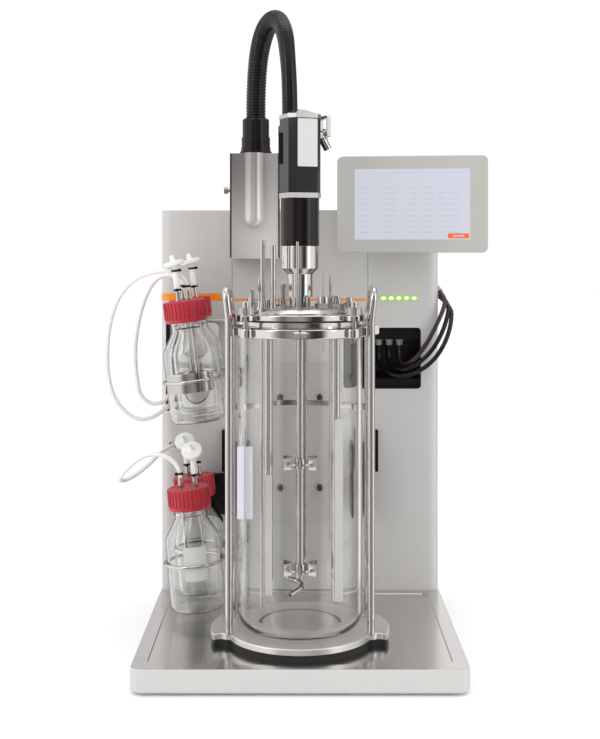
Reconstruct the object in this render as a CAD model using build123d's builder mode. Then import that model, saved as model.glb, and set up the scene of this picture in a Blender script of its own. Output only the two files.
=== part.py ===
"""Bench bioreactor: a control tower on a drip-tray base, a jacketless glass vessel in a
steel stand with a top-driven stirrer, four reagent bottles, a touch screen and its tubing.

Millimetres, +Z up, +X to the operator's right, front towards -Y. The origin is the middle
of the underside of the feet.
"""

import os
from math import atan2, cos, degrees, pi, radians, sin, tan
from typing import NamedTuple

from build123d import *

os.makedirs("parts", exist_ok=True)


class Port(NamedTuple):
    """A fitting on the lid, placed from the vessel's axis, and the tube through it."""

    x: float
    y: float
    width: float
    sides: int  # 0 is round
    height: float
    tube_d: float
    tube_top: float  # 0 where the tube is a piece of its own
    tube_bottom: float


class Bottle(NamedTuple):
    """Where a bottle hangs, how it leans, where its hoop grips, and how its cap is dressed."""

    y: float
    z: float
    lean: float
    hoop_h: float
    ports_turn: float
    filter_flop: float


# ---------------------------------------------------------------- driving dimensions
# Clearances that the fits share
SEAT_GAP = 0.3  # between curved faces that only lie beside each other
SHAFT_GAP = 0.05  # radial, between a shaft and the hole it turns in
PANEL_GAP = 0.6  # shadow line round an inset panel

# Base, feet and drip tray
BASE_W = 380.0
BASE_D = 410.0
BASE_TOP = 30.0
BASE_CORNER_R = 14.0
FOOT_H = 3.0
FOOT_R = 14.0
FOOT_INSET = 34.0
FOOT_RECESS = 1.0
TRAY_SHEET = 2.0
TRAY_RIM = 1.2
PAN_INSET = 17.0
PAN_DEPTH = 1.0

# Tower
TOWER_D = 99.0
TOWER_TOP = 549.0
TOWER_CORNER_R = 15.0
TOWER_EDGE_R = 2.0
CENTRE_PANEL_W = 186.0
CENTRE_PANEL_T = 2.5
REAR_PANEL_T = 1.5
REAR_PANEL_INSET = 18.0
LOUVRE_W, LOUVRE_H, LOUVRE_Z = 70.0, 5.0, 430.0
LOUVRE_PITCH_X, LOUVRE_PITCH_Z = 90.0, 12.0
INLET_X, INLET_Z, INLET_W, INLET_H = 110.0, 90.0, 34.0, 28.0

# Coloured stripe and status lights
STRIPE_Z = 425.2
STRIPE_THIN_H = 2.8
STRIPE_THICK_H = 9.8
STRIPE_STEP_X = -108.0
STRIPE_T = 0.6
LIGHTS_X = 135.0
LIGHTS_W = 52.0
LIGHTS_H = 7.0
LIGHT_COUNT = 5
LIGHT_PITCH = 10.4
LIGHT_W, LIGHT_H = 6.8, 4.8

# Sensor bay in the right column
BAY_LEFT, BAY_RIGHT = 70.0, 165.0
BAY_BOTTOM, BAY_TOP = 305.0, 388.0
BAY_DEPTH = 45.0
BAY_WALL = 2.0
BAY_CORNER_R = 5.0
BAY_TUCK = 1.6  # how far the ledge and shelf run into the liner's walls
LEDGE_H = 17.0
SHELF_H = 13.0
SOCKET_D = 9.0
SOCKET_L = 9.0
SOCKET_XS = (95.0, 109.5, 124.0, 138.6)

# Pump bay in the left column
PUMP_LEFT, PUMP_RIGHT = -187.0, -101.0
PUMP_BOTTOM, PUMP_TOP = 272.0, 400.0
PUMP_BAY_DEPTH = 30.0
PUMP_EDGE_STRIP = 4.0
PUMP_HEAD_W, PUMP_HEAD_H, PUMP_HEAD_PROUD = 62.0, 54.0, 6.0
ROTOR_R = 19.5
ROTOR_T = 8.0
ROTOR_HUB_R = 10.0
ROTOR_PLATE_T = 2.5
ROLLER_R, ROLLER_PITCH_R = 4.5, 13.2

# Plate, screws, pads and bars on the tower's face
BACK_PLATE_W, BACK_PLATE_LOW, BACK_PLATE_HIGH, BACK_PLATE_T = 92.0, 125.0, 341.0, 2.0
PLATE_SCREW_X, PLATE_SCREW_ZS, PLATE_SCREW_D, PLATE_SCREW_H = 29.5, (170.5, 293.5), 9.0, 5.0
REAR_SCREW_D, REAR_SCREW_SPAN = 7.0, 430.0
PAD_X, PAD_Z, PAD_W, PAD_H, PAD_PROUD = 90.0, 183.5, 8.0, 99.0, 36.0
BAR_X, BAR_Z, BAR_W, BAR_H, BAR_PROUD = 104.5, 221.0, 4.0, 57.0, 7.0
BLOCK_X, BLOCK_Z, BLOCK_W, BLOCK_H, BLOCK_PROUD = -113.0, 162.5, 37.0, 55.0, 9.0

# Slot that the lower bottles' tube enters
TUBE_SLOT_W, TUBE_SLOT_H, TUBE_SLOT_DEPTH = 14.0, 7.0, 8.0

# Vessel and its stand
VESSEL_STANDOFF = 198.5  # vessel axis to tower face
VESSEL_R = 75.0
VESSEL_WALL = 4.0
VESSEL_KNUCKLE_R = 20.0
VESSEL_FLANGE_R = 80.0
FOOT_PAD_T = 7.0
FOOT_PLATE_T = 7.0
FOOT_PLATE_R = 88.0
FOOT_WING_R = 107.0
FOOT_WING_FROM, FOOT_WING_TO = -32.0, 45.0
CLAMP_RING_Z, CLAMP_RING_H = 393.0, 12.0
CLAMP_RING_R, CLAMP_RING_ROUND = 84.0, 2.5
SPLIT_LUG_L, SPLIT_LUG_D, SPLIT_BOLT_D = 14.0, 8.4, 3.4
FLANGE_H = 7.0
GASKET_T = 2.0
LID_T = 6.0
LID_R = 82.0
LID_EAR_R, LID_SPOTFACE_D, LID_SPOTFACE = 12.0, 20.8, 1.2
LID_SPIGOT_H, LID_SPIGOT_WALL = 8.0, 4.5
CLAMP_PITCH_R = 88.0
CLAMP_ANGLES = (45, 135, 225, 315)
STUD_D = 6.0
KNOB_D, KNOB_H = 19.0, 10.0
HOOP_ROD_D = 9.0
HOOP_X = 83.5
HOOP_HALF_SPAN = 32.0
HOOP_LEAN = 4.0
HOOP_LEAN_Z = 412.0
HOOP_TOP_Z = 448.0
HOOP_CORNER_R = 12.0
STAY_Z, STAY_H, STAY_T = 299.0, 6.5, 2.0
STAY_COLLAR_D = 14.0

# Drive
HUB_HEX = 30.0
HUB_D = 31.0
HUB_HEX_H = 19.0
HUB_TOP = 466.0
ADAPTER_D = 45.6
ADAPTER_TOP = 500.0
GEARBOX_D = 46.4
GEARBOX_TOP = 557.0
MOTOR_SIDE = 41.5
MOTOR_CHAMFER = 6.8
MOTOR_TURN = 23.0
MOTOR_TOP = 652.0
PLATE_T = 6.0
CAP_TOP = 663.0
CAP_RIDGE = 12.0
TERMINAL_BOX_W, TERMINAL_BOX_H = 27.0, 38.0
TERMINAL_NECK_D, TERMINAL_NECK_H = 29.0, 12.0
CONNECTOR_Z, CONNECTOR_L = 634.0, 10.5
BAIL_W, BAIL_H, BAIL_T, BAIL_DEPTH = 22.8, 23.0, 1.8, 5.0
BAIL_PIN_D = 4.0
SHAFT_D = 10.0
SHAFT_BOTTOM = 101.0

# Impellers and sparger
IMPELLER_D = 46.0
IMPELLER_ZS = (113.0, 239.5)
IMPELLER_BLADES = 6
BLADE_L, BLADE_H, BLADE_T = 11.0, 14.0, 1.6
SPARGE_TUBE_D, SPARGE_NOZZLE_D, SPARGE_HOLE_D = 6.0, 7.2, 3.4
SPARGE_PIPE_X, SPARGE_PIPE_Y = 6.0, 42.0

# Ports on the lid
PORTS = (
    Port(-44.0, -22.0, 10.0, 0, 14.0, 6.0, 507.0, 72.0),
    Port(-31.5, -28.0, 10.0, 0, 10.0, 6.0, 501.0, 405.0),
    Port(-38.0, 2.0, 17.0, 6, 9.0, 11.0, 436.0, 96.0),
    Port(-48.5, 17.0, 9.0, 0, 12.0, 6.0, 460.0, 405.0),
    Port(-57.5, -5.0, 9.0, 0, 16.0, 5.0, 448.0, 405.0),
    Port(-21.0, 26.0, 14.0, 6, 14.0, 9.0, 454.0, 405.0),
    Port(27.5, -24.0, 17.5, 6, 20.0, 2.0, 471.0, 375.0),
    Port(43.0, 4.0, 17.5, 6, 17.0, 11.0, 441.0, 70.0),
    Port(37.0, 27.0, 9.0, 0, 12.0, 3.0, 463.0, 140.0),
    Port(58.5, -9.0, 11.0, 0, 13.0, 5.0, 439.0, 405.0),
    Port(-3.0, -31.0, 8.0, 0, 8.0, 3.0, 505.0, 405.0),
    Port(SPARGE_PIPE_X, SPARGE_PIPE_Y, 12.0, 6, 12.0, SPARGE_TUBE_D, 0.0, 0.0),
)

# Bottles
BOTTLE_X, BOTTLE_FRONT_Y, BOTTLE_BACK_Y = -128.0, -16.0, 60.0
LOWER_BOTTLE_Z, UPPER_BOTTLE_Z = 43.0, 279.0
LOWER_LEAN, UPPER_LEAN = 5.0, 7.0
BOTTLE_D, BOTTLE_H, BOTTLE_WALL = 70.0, 146.0, 2.2
BOTTLE_SHOULDER_H, BOTTLE_NECK_H, BOTTLE_NECK_D = 90.0, 114.0, 40.0
CAP_D, CAP_H, CAP_BASE = 54.0, 27.0, 126.0
CAP_RIBS = 32
PORT_SPREAD = 9.0
PORT_D, PORT_H = 8.0, 12.0
DIP_TUBE_D, DIP_TUBE_OFF_FLOOR = 5.2, 12.0
FILTER_D, FILTER_T, FILTER_NECK, FILTER_HOSE_L = 26.0, 6.0, 4.0, 30.0
HOLDER_WIRE_D = 4.0
BOTTLES = (
    Bottle(BOTTLE_FRONT_Y, UPPER_BOTTLE_Z, UPPER_LEAN, 53.0, 230.0, 0.0),
    Bottle(BOTTLE_BACK_Y, UPPER_BOTTLE_Z, UPPER_LEAN, 53.0, 35.0, 0.0),
    Bottle(BOTTLE_FRONT_Y, LOWER_BOTTLE_Z, LOWER_LEAN, 60.0, 0.0, 22.0),
    Bottle(BOTTLE_BACK_Y, LOWER_BOTTLE_Z, LOWER_LEAN, 60.0, 150.0, 22.0),
)

# Touch screen
SCREEN_X, SCREEN_Z = 153.3, 554.6
SCREEN_W, SCREEN_H, SCREEN_T = 197.0, 127.0, 25.0
SCREEN_CORNER_R = 8.0
SCREEN_YAW, SCREEN_ROLL = -8.5, 1.2
DISPLAY_W, DISPLAY_H, DISPLAY_T = 151.0, 93.0, 1.5
BEZEL_T = 7.0
SWIVEL_STANDOFF = 18.0  # tower face to the upright pivot
SCREEN_STANDOFF = 28.0  # upright pivot to the back of the screen
ARM_Z = 521.0
PIVOT_D = 8.0
TILT_D = 6.0

# Conduit bracket, gland and hose
BRACKET_LEFT, BRACKET_RIGHT = -93.0, -27.0
BRACKET_BOTTOM, BRACKET_TOP = 483.0, 623.0
BRACKET_DEPTH = 46.0
BRACKET_SHEET = 2.0
BRACKET_TUBE_D, BRACKET_TUBE_X, BRACKET_TUBE_BOTTOM = 26.0, -61.0, 524.5
GLAND_H = 48.0
HOSE_D = 27.0

# Cords
TUBE_D = 6.0
CABLE_D = 6.0
CORD_ARC_SHARE = 0.45

# ---------------------------------------------------------------- places that follow
BASE_LEFT, BASE_RIGHT = -BASE_W / 2, BASE_W / 2
BASE_FRONT, BASE_BACK = -BASE_D / 2, BASE_D / 2
TOWER_FACE = BASE_BACK - TOWER_D
VESSEL_Y = TOWER_FACE - VESSEL_STANDOFF
FOOT_PLATE_Z = BASE_TOP + FOOT_PAD_T
VESSEL_Z = FOOT_PLATE_Z + FOOT_PLATE_T
FLANGE_Z = CLAMP_RING_Z + CLAMP_RING_H
GASKET_Z = FLANGE_Z + FLANGE_H
LID_Z = GASKET_Z + GASKET_T
LID_TOP = LID_Z + LID_T
LIGHTS_Z = STRIPE_Z + LIGHTS_H / 2
AXIS = Plane((0, VESSEL_Y, 0))
FACE = Plane((0, TOWER_FACE, 0), x_dir=(1, 0, 0), z_dir=(0, -1, 0))

# Routes of the cords and of the gas pipe: straight runs that arcs join, so only their corners are set
HOSE_ROUTE = [
    (-59.4, TOWER_FACE - 22, BRACKET_TOP + GLAND_H),
    (-59.4, TOWER_FACE - 22, 729),
    (-50, TOWER_FACE - 46, 782),
    (-33, TOWER_FACE - 90, 797),
    (-19, TOWER_FACE - 128, 774),
    (-14.5, TOWER_FACE - 148, 728),
    (-12.5, TOWER_FACE - 153, 688),
    (-12.5, TOWER_FACE - 153, 648),
]
CABLE_ROUTES = [
    [
        (138.6, 138, 362),
        (138.6, 138, 349),
        (138, 125, 338),
        (147, 108, 338),
        (161, 96, 351),
        (174, 93, 371),
        (186, 95, 394),
        (196, 103, 414),
        (200, 113, 428),
        (193, 123, 437),
    ],
    [
        (124, 138, 362),
        (124, 138, 347),
        (126, 123, 333),
        (140, 104, 329),
        (160, 90, 340),
        (179, 86, 359),
        (193, 91, 383),
        (202, 105, 405),
        (205, 119, 421),
        (194, 132, 433),
    ],
    [
        (109.5, 138, 362),
        (109.5, 138, 345),
        (114, 120, 328),
        (134, 98, 321),
        (160, 82, 330),
        (182, 78, 348),
        (198, 85, 373),
        (207, 104, 398),
        (209, 124, 416),
        (194, 141, 430),
    ],
]
UPPER_OUTER_ROUTE = [
    (-142.367, -9.106, 443.475),
    (-143.464, -9.106, 452.408),
    (-151, -10, 461.5),
    (-165, -11, 468.5),
    (-186, -8, 467),
    (-210, -2, 459),
    (-232, 8, 438),
    (-246, 20, 405),
    (-252.5, 34, 367),
    (-253.5, 47, 328),
    (-247, 58, 298),
    (-232, 65, 277),
    (-214, 70, 267),
    (-196, 76, 270),
    (-178, 90, 283),
    (-178, 108, 283),
]
UPPER_INNER_ROUTE = [
    (-155.426, 54.838, 441.870),
    (-156.523, 54.838, 450.803),
    (-164, 56, 459.5),
    (-179, 58, 462),
    (-195, 60, 453),
    (-207, 62, 430),
    (-215, 64, 402),
    (-220, 66, 371),
    (-220, 67, 341),
    (-217, 68, 316),
    (-214, 70, 300),
    (-201, 73, 288),
    (-184.5, 78, 289),
    (-178, 90, 297),
    (-178, 108, 297),
]
LOWER_LOOP_ROUTE = [
    (-151.347, -16, 206.590),
    (-152.131, -16, 215.556),
    (-158, -16, 226),
    (-172, -15, 235),
    (-191, -13, 236.5),
    (-208, -9, 228),
    (-223, -2, 213),
    (-233, 9, 200),
    (-230, 24, 194),
    (-216, 40, 199),
    (-201, 56, 210),
    (-188, 73, 222),
    (-178, 87, 228.5),
    (-172, 99, 228.5),
    (-172, TOWER_FACE + TUBE_SLOT_DEPTH, 228.5),
]
SPARGE_ROUTE = [
    (SPARGE_PIPE_X, VESSEL_Y + SPARGE_PIPE_Y, LID_TOP + 36),
    (SPARGE_PIPE_X, VESSEL_Y + SPARGE_PIPE_Y, 103),
    (-26, VESSEL_Y + 18, 100),
    (8, VESSEL_Y, 94),
    (-10, VESSEL_Y - 22, 88),
]


# ---------------------------------------------------------------- shared helpers
def write(part, name):
    """Names a finished piece and writes it as its own STEP file."""
    part.label = name
    export_step(part, f"parts/{name}.step")


def section_of(stand):
    """The upright plane through a turned piece's axis: X is the radius and Y the height."""
    return Plane(stand.origin, x_dir=stand.x_dir, z_dir=-stand.y_dir)


def turn(stand, corners, mode=Mode.ADD):
    """Turns a closed section about the stand's axis; a corner is (radius, height, rounding)."""
    with BuildSketch(section_of(stand)) as section:
        with BuildLine():
            FilletPolyline(
                [corner[:2] for corner in corners],
                radius=[corner[2] for corner in corners],
                close=True,
            )
        make_face()
    revolve(section.sketch, axis=Axis(stand.origin, stand.z_dir), mode=mode)


def disc(stand, height, radius, thickness, mode=Mode.ADD):
    """A plain round disc or pin that starts at a height along the stand's axis."""
    with BuildSketch(stand.offset(height)) as outline:
        Circle(radius)
    extrude(outline.sketch, amount=thickness, mode=mode)


def box_between(low, high, mode=Mode.ADD):
    """A block between two opposite corners."""
    size = Vector(high) - Vector(low)
    middle = (Vector(high) + Vector(low)) * 0.5
    with Locations(middle):
        Box(size.X, size.Y, size.Z, mode=mode)


def lidded(at_x, at_y):
    """The upright stand of a piece on the lid, placed from the vessel's axis."""
    return Plane((at_x, VESSEL_Y + at_y, 0))


def arc_radii(points):
    """One radius for each corner of a route: as large as its two runs allow."""
    radii = []
    for before, corner, after in zip(points, points[1:], points[2:]):
        run_in = Vector(corner) - Vector(before)
        run_out = Vector(after) - Vector(corner)
        half_turn = radians(run_in.get_angle(run_out) / 2)
        shorter = min(run_in.length, run_out.length)
        radii.append(CORD_ARC_SHARE * shorter / tan(half_turn))
    return radii


def write_cord(points, diameter, name):
    """Sweeps a round cord along straight runs joined by tangent arcs."""
    radii = arc_radii(points)
    with BuildPart() as cord:
        with BuildLine() as route:
            FilletPolyline(points, radius=radii)
        with BuildSketch(Plane(route.line @ 0, z_dir=route.line % 0)):
            Circle(diameter / 2)
        sweep()
    length = route.wire().length
    ratio = cord.part.volume / (pi * diameter**2 / 4 * length)
    print(f"{name}: smallest radius {min(radii) / diameter:.2f} diameters,")
    print(f"  {length:.0f} mm long, volume ratio {ratio:.4f}")
    write(cord.part, name)


# ---------------------------------------------------------------- base
def make_base():
    """The moulded base with a pocket for the drip tray, its feet and the tray."""
    with BuildPart() as housing:
        with BuildSketch(Plane.XY.offset(FOOT_H)):
            RectangleRounded(BASE_W, BASE_D, BASE_CORNER_R)
        extrude(amount=BASE_TOP - FOOT_H)
        chamfer(housing.faces().sort_by(Axis.Z)[0].outer_wire().edges(), 2.5)
        fillet(housing.faces().sort_by(Axis.Z)[-1].outer_wire().edges(), 0.8)
        with BuildSketch(Plane.XY.offset(BASE_TOP)):
            tray_outline(0)
        extrude(amount=-TRAY_SHEET, mode=Mode.SUBTRACT)
        with BuildSketch(Plane.XY.offset(FOOT_H)):
            feet_outline(SEAT_GAP)
        extrude(amount=FOOT_RECESS, mode=Mode.SUBTRACT)
    write(housing.part, "base_housing")

    with BuildPart() as feet:
        with BuildSketch():
            feet_outline(0)
        extrude(amount=FOOT_H + FOOT_RECESS)
        chamfer(feet.edges().group_by(Axis.Z)[0], 0.8)
    write(feet.part, "base_feet")

    with BuildPart() as tray:
        with BuildSketch(Plane.XY.offset(BASE_TOP - TRAY_SHEET)):
            tray_outline(0.2)
        extrude(amount=TRAY_SHEET)
        with BuildSketch(Plane.XY.offset(BASE_TOP)):
            pan_depth = BASE_D - TOWER_D - 2 * PAN_INSET
            with Locations((0, BASE_FRONT + PAN_INSET + pan_depth / 2)):
                RectangleRounded(BASE_W - 2 * PAN_INSET, pan_depth, BASE_CORNER_R)
        extrude(amount=-PAN_DEPTH, taper=45, mode=Mode.SUBTRACT)
    write(tray.part, "drip_tray")


def feet_outline(gap):
    """The four round feet, or their recesses with a gap round each."""
    with GridLocations(BASE_W - 2 * FOOT_INSET, BASE_D - 2 * FOOT_INSET, 2, 2):
        Circle(FOOT_R + gap)


def tray_outline(gap):
    """The tray's plan: the base's outline inside its rim, as far back as the tower."""
    inset = TRAY_RIM + gap
    corner = BASE_CORNER_R - TRAY_RIM
    depth = BASE_D - TOWER_D - inset - gap
    with Locations((0, BASE_FRONT + inset + depth / 2)):
        RectangleRounded(BASE_W - 2 * inset, depth, corner)
    with Locations((0, TOWER_FACE - gap - corner)):
        Rectangle(BASE_W - 2 * inset, 2 * corner)


# ---------------------------------------------------------------- tower
def tower_outline(grow=0.0):
    """The tower's plan, grown outwards by a skin's thickness where one is wanted."""
    with Locations((0, (TOWER_FACE + BASE_BACK) / 2)):
        RectangleRounded(BASE_W + 2 * grow, TOWER_D + 2 * grow, TOWER_CORNER_R + grow)


def bay_pocket(left, right, bottom, top, depth, corner, mode):
    """A round-cornered block that runs back into the tower from its face."""
    with BuildSketch(FACE) as mouth:
        with Locations(((left + right) / 2, (bottom + top) / 2)):
            RectangleRounded(right - left, top - bottom, corner)
    extrude(mouth.sketch, amount=-depth, mode=mode)


def sensor_bay(grow, depth, mode):
    """The sensor bay's opening, grown on every side."""
    edges = (BAY_LEFT - grow, BAY_RIGHT + grow, BAY_BOTTOM - grow, BAY_TOP + grow)
    bay_pocket(*edges, depth, BAY_CORNER_R + grow, mode)


def pump_bay(grow, depth, mode):
    """The pump bay's opening, grown on every side but the one at the tower's corner."""
    edges = (PUMP_LEFT, PUMP_RIGHT + grow, PUMP_BOTTOM - grow, PUMP_TOP + grow)
    bay_pocket(*edges, depth, BAY_CORNER_R, mode)


def make_tower():
    """The tower's housing, its inset centre panel and its rear cover."""
    bay_hole = SEAT_GAP
    with BuildPart() as housing:
        with BuildSketch(Plane.XY.offset(BASE_TOP)):
            tower_outline()
        extrude(amount=TOWER_TOP - BASE_TOP)
        fillet(housing.faces().sort_by(Axis.Z)[-1].edges(), TOWER_EDGE_R)
        box_between(
            (-CENTRE_PANEL_W / 2, TOWER_FACE - 1, BASE_TOP),
            (CENTRE_PANEL_W / 2, TOWER_FACE + CENTRE_PANEL_T, TOWER_TOP + 1),
            mode=Mode.SUBTRACT,
        )
        box_between(
            (BASE_LEFT + REAR_PANEL_INSET, BASE_BACK - REAR_PANEL_T, BASE_TOP + 12),
            (BASE_RIGHT - REAR_PANEL_INSET, BASE_BACK + 1, TOWER_TOP - REAR_PANEL_INSET),
            mode=Mode.SUBTRACT,
        )
        sensor_bay(bay_hole, BAY_DEPTH + SEAT_GAP, Mode.SUBTRACT)
        pump_bay(bay_hole, PUMP_BAY_DEPTH + SEAT_GAP, Mode.SUBTRACT)
        slot_x, _, slot_z = LOWER_LOOP_ROUTE[-1]
        half_w, half_h = TUBE_SLOT_W / 2, TUBE_SLOT_H / 2
        bay_pocket(
            slot_x - half_w, slot_x + half_w, slot_z - half_h, slot_z + half_h,
            TUBE_SLOT_DEPTH, 1.5, Mode.SUBTRACT,
        )
    write(housing.part, "tower_housing")

    with BuildPart() as panel:
        box_between(
            (PANEL_GAP - CENTRE_PANEL_W / 2, TOWER_FACE, BASE_TOP + PANEL_GAP),
            (CENTRE_PANEL_W / 2 - PANEL_GAP, TOWER_FACE + CENTRE_PANEL_T, TOWER_TOP - 1),
        )
        sensor_bay(bay_hole, BAY_DEPTH, Mode.SUBTRACT)
    write(panel.part, "tower_centre_panel")
    make_rear_panel()


def make_rear_panel():
    """The rear cover with its louvres and the mains inlet."""
    low = Vector(BASE_LEFT + REAR_PANEL_INSET, BASE_BACK - REAR_PANEL_T, BASE_TOP + 12)
    high = Vector(BASE_RIGHT - REAR_PANEL_INSET, BASE_BACK, TOWER_TOP - REAR_PANEL_INSET)
    gap = Vector(PANEL_GAP, 0, PANEL_GAP)
    behind = Plane((0, BASE_BACK, 0), x_dir=(-1, 0, 0), z_dir=(0, 1, 0))
    with BuildPart() as cover:
        box_between(low + gap, high - gap)
        with BuildSketch(behind):
            with Locations((0, LOUVRE_Z)):
                with GridLocations(LOUVRE_PITCH_X, LOUVRE_PITCH_Z, 3, 6):
                    SlotOverall(LOUVRE_W, LOUVRE_H)
        extrude(amount=-REAR_PANEL_T, mode=Mode.SUBTRACT)
        with BuildSketch(behind):
            with Locations((INLET_X, INLET_Z)):
                Rectangle(INLET_W, INLET_H)
        extrude(amount=2.5)
        with BuildSketch(behind.offset(2.5)):
            with Locations((INLET_X, INLET_Z)):
                Rectangle(INLET_W - 9, INLET_H - 10)
        extrude(amount=-2.0, mode=Mode.SUBTRACT)
    write(cover.part, "rear_panel")


def make_stripe_and_lights():
    """The stripe that wraps the left corner, and the status lights' strip."""
    with BuildPart() as stripe:
        for height, left, right in (
            (STRIPE_THICK_H, BASE_LEFT - 2, STRIPE_STEP_X),
            (STRIPE_THIN_H, STRIPE_STEP_X, CENTRE_PANEL_W / 2 - 3),
        ):
            with BuildSketch(Plane.XY.offset(STRIPE_Z)) as band:
                tower_outline(STRIPE_T)
                tower_outline_cut()
                with Locations(((left + right) / 2, TOWER_FACE + 10)):
                    Rectangle(right - left, 24, mode=Mode.INTERSECT)
            extrude(band.sketch, amount=height)
    write(stripe.part, "accent_strip")

    with BuildPart() as strip:
        with BuildSketch(FACE):
            with Locations((LIGHTS_X, LIGHTS_Z)):
                RectangleRounded(LIGHTS_W, LIGHTS_H, 1.2)
        extrude(amount=STRIPE_T)
        with BuildSketch(FACE.offset(STRIPE_T)):
            with Locations((LIGHTS_X, LIGHTS_Z)):
                with GridLocations(LIGHT_PITCH, 0, LIGHT_COUNT, 1):
                    Ellipse(LIGHT_W / 2, LIGHT_H / 2)
        extrude(amount=0.5)
    write(strip.part, "status_light_strip")


def tower_outline_cut():
    """Takes the tower's own plan out of a skin's sketch."""
    with Locations((0, (TOWER_FACE + BASE_BACK) / 2)):
        RectangleRounded(BASE_W, TOWER_D, TOWER_CORNER_R, mode=Mode.SUBTRACT)


def make_sensor_bay():
    """The black moulded bay with its ledge and shelf, and the sockets under the ledge."""
    back = TOWER_FACE + BAY_DEPTH
    with BuildPart() as liner:
        sensor_bay(0, BAY_DEPTH, Mode.ADD)
        sensor_bay(-BAY_WALL, BAY_DEPTH - BAY_WALL, Mode.SUBTRACT)
        box_between(
            (BAY_LEFT + BAY_TUCK, TOWER_FACE + 14, BAY_TOP - LEDGE_H),
            (BAY_RIGHT - BAY_TUCK, back - 1, BAY_TOP - BAY_TUCK),
        )
        with BuildSketch(Plane.YZ.offset(BAY_LEFT + BAY_TUCK)):
            with BuildLine():
                Polyline(
                    (TOWER_FACE + 6, BAY_BOTTOM + BAY_TUCK),
                    (back - 1, BAY_BOTTOM + BAY_TUCK),
                    (back - 1, BAY_BOTTOM + SHELF_H + 8),
                    (TOWER_FACE + 6, BAY_BOTTOM + SHELF_H),
                    close=True,
                )
            make_face()
        extrude(amount=BAY_RIGHT - BAY_LEFT - 2 * BAY_TUCK)
    write(liner.part, "sensor_bay_liner")

    socket_y = TOWER_FACE + 32
    with BuildPart() as sockets:
        for points in CABLE_ROUTES:
            end, before = Vector(points[-1]), Vector(points[-2])
            gland = Plane(end, z_dir=(end - before).normalized())
            disc(gland, 0, CABLE_D / 2 + 1.4, 14)
        split(bisect_by=Plane.YZ.offset(BASE_RIGHT), keep=Keep.TOP)
        for socket_x in SOCKET_XS:
            stand = Plane((socket_x, socket_y, BAY_TOP - LEDGE_H - SOCKET_L))
            turn(
                stand,
                [
                    (0, 0, 0),
                    (SOCKET_D / 2 - 1, 0, 0),
                    (SOCKET_D / 2, 1.5, 0),
                    (SOCKET_D / 2, 6, 0),
                    (SOCKET_D / 2 + 1, 6, 0),
                    (SOCKET_D / 2 + 1, SOCKET_L, 0),
                    (0, SOCKET_L, 0),
                ],
            )
    write(sockets.part, "sensor_sockets")


def make_pumps():
    """The black pump moulding with its two heads, and a roller rotor in each."""
    head_x = (PUMP_LEFT + PUMP_EDGE_STRIP + PUMP_RIGHT) / 2
    span = PUMP_TOP - PUMP_BOTTOM
    head_zs = [PUMP_BOTTOM + span * share for share in (0.27, 0.75)]
    floor = PUMP_BAY_DEPTH - 12
    with BuildPart() as moulding:
        pump_bay(0, PUMP_BAY_DEPTH, Mode.ADD)
        bay_pocket(
            PUMP_LEFT + PUMP_EDGE_STRIP,
            PUMP_RIGHT - BAY_WALL,
            PUMP_BOTTOM + BAY_WALL,
            PUMP_TOP - BAY_WALL,
            12,
            3,
            Mode.SUBTRACT,
        )
        for head_z in head_zs:
            with BuildSketch(FACE.offset(-12.5)) as head:
                with Locations((head_x, head_z)):
                    RectangleRounded(PUMP_HEAD_W, PUMP_HEAD_H, 8)
            extrude(head.sketch, amount=12.5 + PUMP_HEAD_PROUD)
            with BuildSketch(FACE.offset(PUMP_HEAD_PROUD)) as bore:
                with Locations((head_x, head_z)):
                    Circle(ROTOR_R + 2.5)
            extrude(bore.sketch, amount=-ROTOR_T - 1, mode=Mode.SUBTRACT)
            pin = Plane((head_x, TOWER_FACE, head_z), z_dir=(0, -1, 0))
            disc(pin, PUMP_HEAD_PROUD - ROTOR_T - 1.5, 3, ROTOR_T - 1)
        for end_x, end_y, end_z in (UPPER_OUTER_ROUTE[-1], UPPER_INNER_ROUTE[-1]):
            stub = Plane((end_x, end_y, end_z), z_dir=(0, 1, 0))
            disc(stub, 0, TUBE_D / 2 + 0.6, TOWER_FACE + 12.5 - end_y)
    write(moulding.part, "pump_moulding")

    for name, head_z in zip(("lower", "upper"), head_zs):
        stand = Plane((head_x, TOWER_FACE, head_z), x_dir=(1, 0, 0), z_dir=(0, -1, 0))
        low = PUMP_HEAD_PROUD - ROTOR_T - 0.7
        with BuildPart() as rotor:
            disc(stand, low + ROTOR_T - ROTOR_PLATE_T, ROTOR_R, ROTOR_PLATE_T)
            with BuildSketch(stand.offset(low)) as rollers:
                Circle(ROTOR_HUB_R)
                with PolarLocations(ROLLER_PITCH_R, 3):
                    Circle(ROLLER_R)
            extrude(rollers.sketch, amount=ROTOR_T - ROTOR_PLATE_T)
            disc(stand, low, 3 + SHAFT_GAP, ROTOR_T - 1.6, Mode.SUBTRACT)
            with BuildSketch(stand.offset(low + ROTOR_T)) as socket:
                RegularPolygon(4, 6)
            extrude(socket.sketch, amount=-1.2, mode=Mode.SUBTRACT)
        write(rotor.part, f"pump_rotor_{name}")


def face_block(at_x, at_z, width, height, corner, proud):
    """A round-cornered block that stands out from the tower's face."""
    with BuildSketch(FACE) as outline:
        with Locations((at_x, at_z)):
            RectangleRounded(width, height, corner)
    extrude(outline.sketch, amount=proud)


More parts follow.
